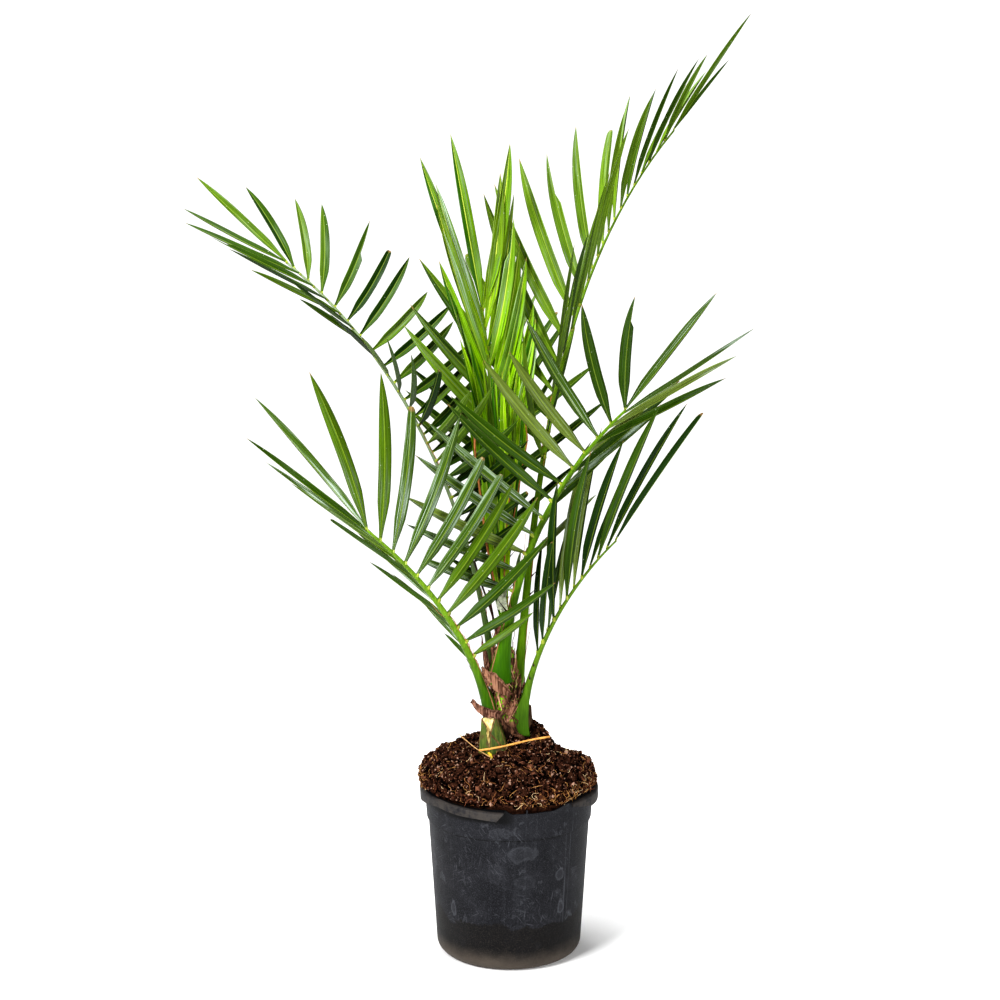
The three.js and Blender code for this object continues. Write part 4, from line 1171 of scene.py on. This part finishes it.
def leaf_finish(name, colour):
    """Waxy leaf green, veined and streaked with painted sheen, with a pale midrib and edge, a dry tip and
    dust.

    The spear's greens deepen with height; their bright lower part is painted light.
    """
    material, tree, shader = finish_of("leaf_" + name, 0.40, 0.035)
    place = node(tree, "TexCoord", {})["Object"]
    blade_place = node(tree, "TexCoord", {})["UV"]
    across, along, unused = node(tree, "SeparateXYZ", {0: blade_place})
    off = maths(tree, "ABSOLUTE", maths(tree, "SUBTRACT", across, 0.5), 0.0)
    lengthwise = node(tree, "Mapping", {"Vector": blade_place, "Scale": (34, 1.6, 1)})[0]
    nearby = node(tree, "Mapping", {"Vector": place, "Scale": (9, 9, 9)})[0]
    vein = grain(tree, node(tree, "VectorMath", {0: lengthwise, 1: nearby})[0], 1.0, 3, 0.6)
    low, high = (rgba(tuple(c * k for c in colour)) for k in (0.26 if name in SPEAR_GREENS else 0.36, 1.40))
    shade = layer(tree, ramp(tree, vein, 0.34, 0.66), low, high)
    cloud = ramp(tree, grain(tree, place, 60, 3), 0.35, 0.7)
    shade = veil(tree, cloud, 0.25, shade, high)
    # Painted light: the spear's greens are multiplied darker towards the top. Their bright lower part stands
    # in for light shining through the leaflets.
    if name in SPEAR_GREENS:
        height = node(tree, "SeparateXYZ", {0: place})["Z"]
        top_darkening = (SPEAR_TOP_DARKENING[name], SPEAR_TOP_DARKENING[name], 1, 1)
        deeper = {0: ramp(tree, height, 0.49, 0.60), 6: shade, 7: top_darkening}
        shade = node(tree, "Mix", deeper, data_type="RGBA", blend_type="MULTIPLY")[2]
    # Painted sheen: broad and fine pale streaks along the blade.
    for scale, low_edge, high_edge in (((3.2, 1.1, 1), 0.52, 0.70), ((17, 0.9, 1), 0.55, 0.68)):
        stretched = node(tree, "Mapping", {"Vector": blade_place, "Scale": scale})[0]
        streak = grain(tree, node(tree, "VectorMath", {0: stretched, 1: nearby})[0], 1.0, 2)
        painted_gleam = ramp(tree, streak, low_edge, high_edge)
        share = PAINTED_SHEEN.get(name, USUAL_PAINTED_SHEEN)
        shade = veil(tree, painted_gleam, share, shade, rgba(PAINTED_SHEEN_PALE))
    rib_share = 0.9 if name in SPEAR_GREENS else 0.45
    on_rib = maths(tree, "MULTIPLY", ramp(tree, off, 0.048, 0.022), rib_share)
    shade = layer(tree, on_rib, shade, rgba(SPEAR_MIDRIB if name in SPEAR_GREENS else MIDRIB_PALE))
    shade = veil(tree, ramp(tree, off, 0.462, 0.490), 0.45, shade, rgba(BLADE_EDGE))
    withered = maths(tree, "ADD", along, maths(tree, "MULTIPLY", cloud, 0.03))
    shade = veil(tree, ramp(tree, withered, 0.985, 1.01), 0.7, shade, rgba(TIP_DRY))
    cells = node(tree, "TexVoronoi", {"Vector": place, "Scale": 170.0})[0]
    speck = maths(tree, "MULTIPLY", ramp(tree, cells, 0.085, 0.05), 0.55)
    tree.links.new(layer(tree, speck, shade, rgba((0.42, 0.46, 0.36))), shader.inputs["Base Color"])
    bumped(tree, shader, vein, 0.25, 0.0003)
    return material


def outline_of(u, blunt):
    """The blade's half width at share u of its length, as a share of its widest."""
    root = np.array([smooth_share(v / 0.28) for v in u]) * 0.74 + 0.26
    end = u * (0.86 if blunt else 1.0)
    taper = np.clip(1 - np.clip((end - 0.48) / 0.52, 0, 1) ** 2.4, 0, 1) ** 0.92
    if blunt:
        taper *= np.sqrt(np.clip(1 - np.clip((u - 0.955) / 0.05, 0, 1) ** 2, 0.12, 1))
    return np.maximum(root * taper, 0.03)


def blade(frond, leaf, bundle, fold_shade_greens, under, names):
    """Adds one folded blade: a ring of points at each station, over its two halves and back below."""
    u = BLADE_STATIONS
    half = frond["leaf_width"] / 2 * math.sqrt(leaf["length"] / USUAL_LEAF) * outline_of(u, leaf["blunt"])
    half[0] = min(half[0], stalk_half_width(frond, leaf["s"]) * 0.7)
    turn = math.radians(jitter(leaf["k"] + 4, LEAF_TWIST)) * (0.7 + 0.6 * u)
    fold = 0.46 + 0.36 * np.exp(-u / 0.10) + 0.10 * u
    sway = leaf["length"] * jitter(leaf["k"] + 7, 0.022) * u * u
    spine = leaf["base"] + np.outer(leaf["length"] * u, leaf["run"])
    spine = spine - np.outer(leaf["arch"] * 2 * u * (1 - u), leaf["wide"]) + np.outer(sway, leaf["face"])
    wide = np.outer(np.cos(turn), leaf["wide"]) + np.outer(np.sin(turn), leaf["face"])
    face = np.outer(np.cos(turn), leaf["face"]) - np.outer(np.sin(turn), leaf["wide"])
    c = np.concatenate([BLADE_ACROSS, BLADE_ACROSS[-2:0:-1]])
    pleat = np.concatenate([PLEATS, PLEATS[-2:0:-1]]) * PLEAT_DEPTH
    top = len(BLADE_ACROSS)
    skin = np.concatenate([np.ones(top), -np.ones(len(c) - top)]) * BLADE_HALF_THICK * (1 - 0.8 * np.abs(c))
    skin[top:] -= MIDRIB_PROUD * np.exp(-(c[top:] / 0.13) ** 2)
    reach = np.outer(half, c)
    if chance(leaf["k"] + 11) < TORN_SHARE:
        side = 1 if chance(leaf["k"] + 12) < 0.5 else -1
        stop = 0.55 + 0.3 * chance(leaf["k"] + 13)
        reach = np.where((u[:, None] > stop) & (c * side > 0), reach * 0.2, reach)
    lift = np.abs(reach) * fold[:, None] + (pleat + skin) * (half / half.max())[:, None]
    points = spine[:, None] + wide[:, None] * reach[..., None] + face[:, None] * lift[..., None]
    rings, sides = len(u), len(c)
    first, second, below, swelling = (names.index(name) for name in (*fold_shade_greens, under, "root_swelling"))
    half_way = top // 2
    # The upper face's two halves take their own greens, as painted light and shade on the fold.
    ring_finishes = [first] * half_way + [second] * half_way + [below] * (sides - 2 * half_way)
    finishes = [swelling] * sides + ring_finishes * (rings - 2) + [swelling, below]
    places = np.stack([np.tile(c / 2 + 0.5, rings), np.repeat(u, sides)], axis=1)
    bundle.add(points.reshape(-1, 3), tube_faces(rings, sides), finishes, places)


ribs = {name: rib_points(frond) for name, frond in FRONDS.items()}
leaves = grow_all(ribs)
for number, (s, *tip) in enumerate(BASAL_TIPS):
    base = point_on(ribs["spear"], s)
    aim = np.array(tip) * 0.001 - base
    run = unit(aim)
    wide = unit(np.cross(run, (0, -1, 0)))
    arch = 0.004 * (number % 3 - 1)
    leaves["spear"].append(dict(base=base, run=run, wide=wide, face=np.cross(wide, run), arch=arch,
                                length=np.linalg.norm(aim), blunt=False, s=s, k=7000 + 20 * number,
                                u=-1, side=0))
greens = {name: leaf_finish(name, colour) for name, colour in LEAF_GREENS.items()}
for frond_name, frond in FRONDS.items():
    names = list(dict.fromkeys(frond["tones"] + frond["under"] + BASAL_TONES + ("root_swelling",)))
    blades = Bundle()
    for leaf in leaves[frond_name]:
        basal = leaf["u"] < 0
        tones = BASAL_TONES if basal else frond["tones"]
        fold_shade_greens = [tones[int(chance(leaf["k"] + n) * len(tones))] for n in (6, 8)]
        under = frond["under"][int(chance(leaf["k"] + 9) * len(frond["under"]))]
        sizes = dict(frond, leaf_width=BASAL_WIDTH) if basal else frond
        blade(sizes, leaf, blades, fold_shade_greens, under, names)
    blade_mesh = blades.mesh(frond_name + "_blades", outward=True)
    settle(frond_name + "_blades", blade_mesh, [greens[name] for name in names], [frond_name])


# Stalks: the ribs that carry the leaflets, flat above and round below, swelling into a broad foot on the
# stem or thinning out against it. They carry swellings at the leaflets' roots, short spines, tan margins
# and dry fibres. The long fibres' knots were placed from points picked in the photograph.
RIB_GREENS = {
    "rib_fresh": ((0.036, 0.125, 0.0008), (0.120, 0.240, 0.008)),
    "rib_olive": ((0.034, 0.105, 0.0016), (0.135, 0.250, 0.012)),
    "rib_low": ((0.048, 0.120, 0.0060), (0.120, 0.220, 0.012)),
    "rib_green": ((0.100, 0.215, 0.0040), (0.115, 0.215, 0.010)),
    "rib_waxy": ((0.070, 0.130, 0.020), (0.210, 0.270, 0.150)),
    "rib_bright": ((0.100, 0.260, 0.0040), (0.170, 0.370, 0.010)),
}
STALK_RINGS = 44
STALK_SIDES = 18
SWELLING = 0.0021
USUAL_THREADS = (9, 0.00032)
THREADS = {"frond_low_right": (0, 0), "spear": (14, 0.00050)}
CLASP_FADE = 0.035
FOOT_START = {"frond_low_right": 0.004}
FOOT_FLARE = {"frond_front_right": (0.0085, 0.0015, 0.056), "frond_low_right": (0.0145, -0.0085, 0.065)}
TAIL_FRONDS = ("frond_front_left", "frond_upper_left", "frond_upper_right", "frond_back")
TAIL_DROP = 0.022
MARGINS = {"frond_front_left": 1, "frond_front_right": -1, "frond_low_right": -1}
MARGIN_RINGS = 20
SPINE_COUNT = 3
FIBRE_POINTS = 40
RIB_PART, SWELLING_PART, SPINE_PART, THREAD_PART, MARGIN_PART = range(5)
FIBRES = {
    "frond_front_right": [
        ([(1.9, -25.9, 330.6), (4.7, -25.0, 325.4), (4.3, -24.0, 318.4), (1.5, -23.0, 311.5),
          (0.3, -22.1, 305.4), (1.9, -21.5, 300.2), (5.6, -21.2, 297.6)], 0.00042, MARGIN_PART)],
    "spear": [
        ([(-25.3, -12, 461), (-28.6, -12, 435), (-25.4, -11, 410), (-23, -10, 389), (-20.6, -9, 368),
          (-18.2, -8, 351), (-15.7, -7, 336), (-8, -3, 300)], 0.0010, THREAD_PART),
        ([(3.1, -11, 418), (0.7, -10, 397), (-1, -9, 376), (-3.4, -8, 355), (-4, -4, 320)],
         0.0006, THREAD_PART),
        ([(-28.9, -6, 338), (-24, -6, 321), (-16, -5, 298), (-9, -3, 275)], 0.0009, SPINE_PART),
        ([(12.8, -6, 456), (15, -6, 438), (9, -4, 405), (0, -2, 350)], 0.0006, THREAD_PART)],
}


def stalk_finish(name, foot_colour, tip_colour, low, high):
    """A stalk's green, changing from foot to tip, streaked fine."""
    material, tree, shader = finish_of(name, 0.42, 0.06)
    place = node(tree, "TexCoord", {})["Object"]
    height = node(tree, "SeparateXYZ", {0: place})["Z"]
    colour = layer(tree, ramp(tree, height, low, high), rgba(foot_colour), rgba(tip_colour))
    streaks = node(tree, "Mapping", {"Vector": place, "Scale": (700, 700, 45)})[0]
    streak = ramp(tree, grain(tree, streaks, 1.0, 3), 0.3, 0.75)
    darker = rgba(tuple(c * 0.4 for c in foot_colour))
    colour = veil(tree, maths(tree, "SUBTRACT", 1.0, streak), 0.5, colour, darker)
    tree.links.new(colour, shader.inputs["Base Color"])
    bumped(tree, shader, streak, 0.25, 0.0003)
    return material


def stalk_rings(frond, points, start, flare):
    """The stalk's section at even steps: broad, with a shallow channel above, and deep where it clasps.

    Near its foot, up to a given length, it flares by one width towards -X and by another towards +X.
    """
    rings = []
    turns = np.arange(STALK_SIDES) * math.tau / STALK_SIDES
    for s in start + (1 - start) * np.linspace(0, 1, STALK_RINGS) ** 1.25:
        along, upper, across = rib_frame(frond, s)
        half = stalk_half_width(frond, s)
        clasp = math.exp(-(s * frond["length"] / CLASP_FADE) ** 2)
        x = np.cos(turns)
        away = x * np.sign(across[0])
        opened = max(0.0, 1 - s * frond["length"] / flare[2]) ** 1.2
        wider = x * opened * np.where(away < 0, flare[0], flare[1])
        y = np.where(np.sin(turns) > 0, 0.42 + 0.80 * clasp, 0.80 + 0.12 * clasp) * np.sin(turns)
        y = y - 0.16 * (1 - clasp) * np.exp(-(x / 0.45) ** 2) * (np.sin(turns) > 0)
        rings.append(point_on(points, s) + np.outer(x * half + wider, across) + np.outer(y * half, upper))
    return rings


def tail_rings(first, along):
    """Rings below a stalk's foot, where the leaf base thins out and lies against the stem."""
    rings = []
    for share in np.linspace(1, 0.2, 5):
        ring = first - along * TAIL_DROP * share
        centre = ring.mean(axis=0)
        axis = stem_axis(centre[2])
        inward = np.array([axis.x - centre[0], axis.y - centre[1], 0]) * 0.45 * share
        rings.append(centre + inward + (ring - centre) * (1 - 0.5 * share))
    return rings


swelling_points, swelling_faces = ball_of(2)
spine_dark = plain_finish("spine_dark", (0.030, 0.014, 0.008), 0.5)
thread_orange = plain_finish("thread_orange", (0.36, 0.135, 0.040), 0.7)
margin_tan = plain_finish("margin_tan", (0.26, 0.125, 0.058), 0.7)
for frond_name, frond in FRONDS.items():
    stalks = Bundle()
    start, flare = FOOT_START.get(frond_name, 0.0), FOOT_FLARE.get(frond_name, (0.0, 0.0, 1.0))
    rings = stalk_rings(frond, ribs[frond_name], start, flare)
    along, upper, across = rib_frame(frond, start)
    if frond_name in MARGINS:
        edge = 0 if across[0] * MARGINS[frond_name] > 0 else STALK_SIDES // 2
        path = [ring[edge] for ring in rings[:MARGIN_RINGS]]
        points, faces = strand(path, np.linspace(0.0007, 0.0002, MARGIN_RINGS), 5)
        stalks.add(points, faces, MARGIN_PART)
    if frond_name in TAIL_FRONDS:
        rings = tail_rings(rings[0], along) + rings
    stalks.add(np.concatenate(rings), tube_faces(len(rings), STALK_SIDES), RIB_PART)
    for leaf in leaves[frond_name]:
        if leaf["side"]:
            half = stalk_half_width(frond, leaf["s"])
            size = SWELLING * min(1.0, half / 0.003)
            along, upper, across = rib_frame(frond, leaf["s"])
            spot = leaf["base"] + across * leaf["side"] * half * 0.75 + upper * half * 0.1
            ball = swelling_points * (0.8, 1.5, 0.8)
            shaped = np.outer(ball[:, 0], leaf["wide"]) + np.outer(ball[:, 1], leaf["run"])
            shaped += np.outer(ball[:, 2], leaf["face"])
            stalks.add(spot + shaped * size, swelling_faces, SWELLING_PART)
    for i in range(SPINE_COUNT):
        s = frond["bare"] * (0.55 + 0.15 * i)
        side = 1 if chance(frond["seed"] * 31 + i) > 0.5 else -1
        along, upper, across = rib_frame(frond, s)
        out = unit(across * side + along * 1.1 + upper * 0.5)
        root = point_on(ribs[frond_name], s) + across * side * stalk_half_width(frond, s) * 0.8
        length = 0.006 + 0.010 * chance(frond["seed"] * 17 + i)
        path = root + np.outer(np.linspace(0, length, 6), out)
        points, faces = strand(path, np.linspace(0.0008, 0.00012, 6), 6)
        stalks.add(points, faces, SPINE_PART)
    thread_count, thick = THREADS.get(frond_name, USUAL_THREADS)
    for i in range(thread_count):
        number = frond["seed"] * 53 + i * 5
        s = 0.02 + 0.45 * chance(number)
        side = 1 if chance(number + 1) > 0.5 else -1
        along, upper, across = rib_frame(frond, s)
        root = point_on(ribs[frond_name], s) + across * side * stalk_half_width(frond, s) * 0.9
        length = 0.016 + 0.034 * chance(number + 2)
        share = np.linspace(0, 1, 9)
        curl = np.outer(share ** 2 * jitter(number + 3, 0.008), across)
        curl = curl + np.outer(np.sin(share * 7) * 0.0012, upper)
        points, faces = strand(root + np.outer(share * length, along) + curl, thick * (1 - 0.6 * share), 4)
        stalks.add(points, faces, THREAD_PART)
    for knots, thick, brown in FIBRES.get(frond_name, ()):
        points, faces = strand(smooth_path(knots, FIBRE_POINTS), np.full(FIBRE_POINTS, thick), 5)
        stalks.add(points, faces, brown)
    stalk_mesh = stalks.mesh(frond_name + "_stalk", outward=True)
    foot_colour, tip_colour = RIB_GREENS[frond["rib"]]
    low, high = ribs[frond_name][0][2], ribs[frond_name][30][2]
    rib_green = stalk_finish(frond["rib"] + "_" + frond_name, foot_colour, tip_colour, low, high)
    stalk_finishes = [rib_green, greens["root_swelling"], spine_dark, thread_orange, margin_tan]
    settle(frond_name + "_stalk", stalk_mesh, stalk_finishes, [frond_name])
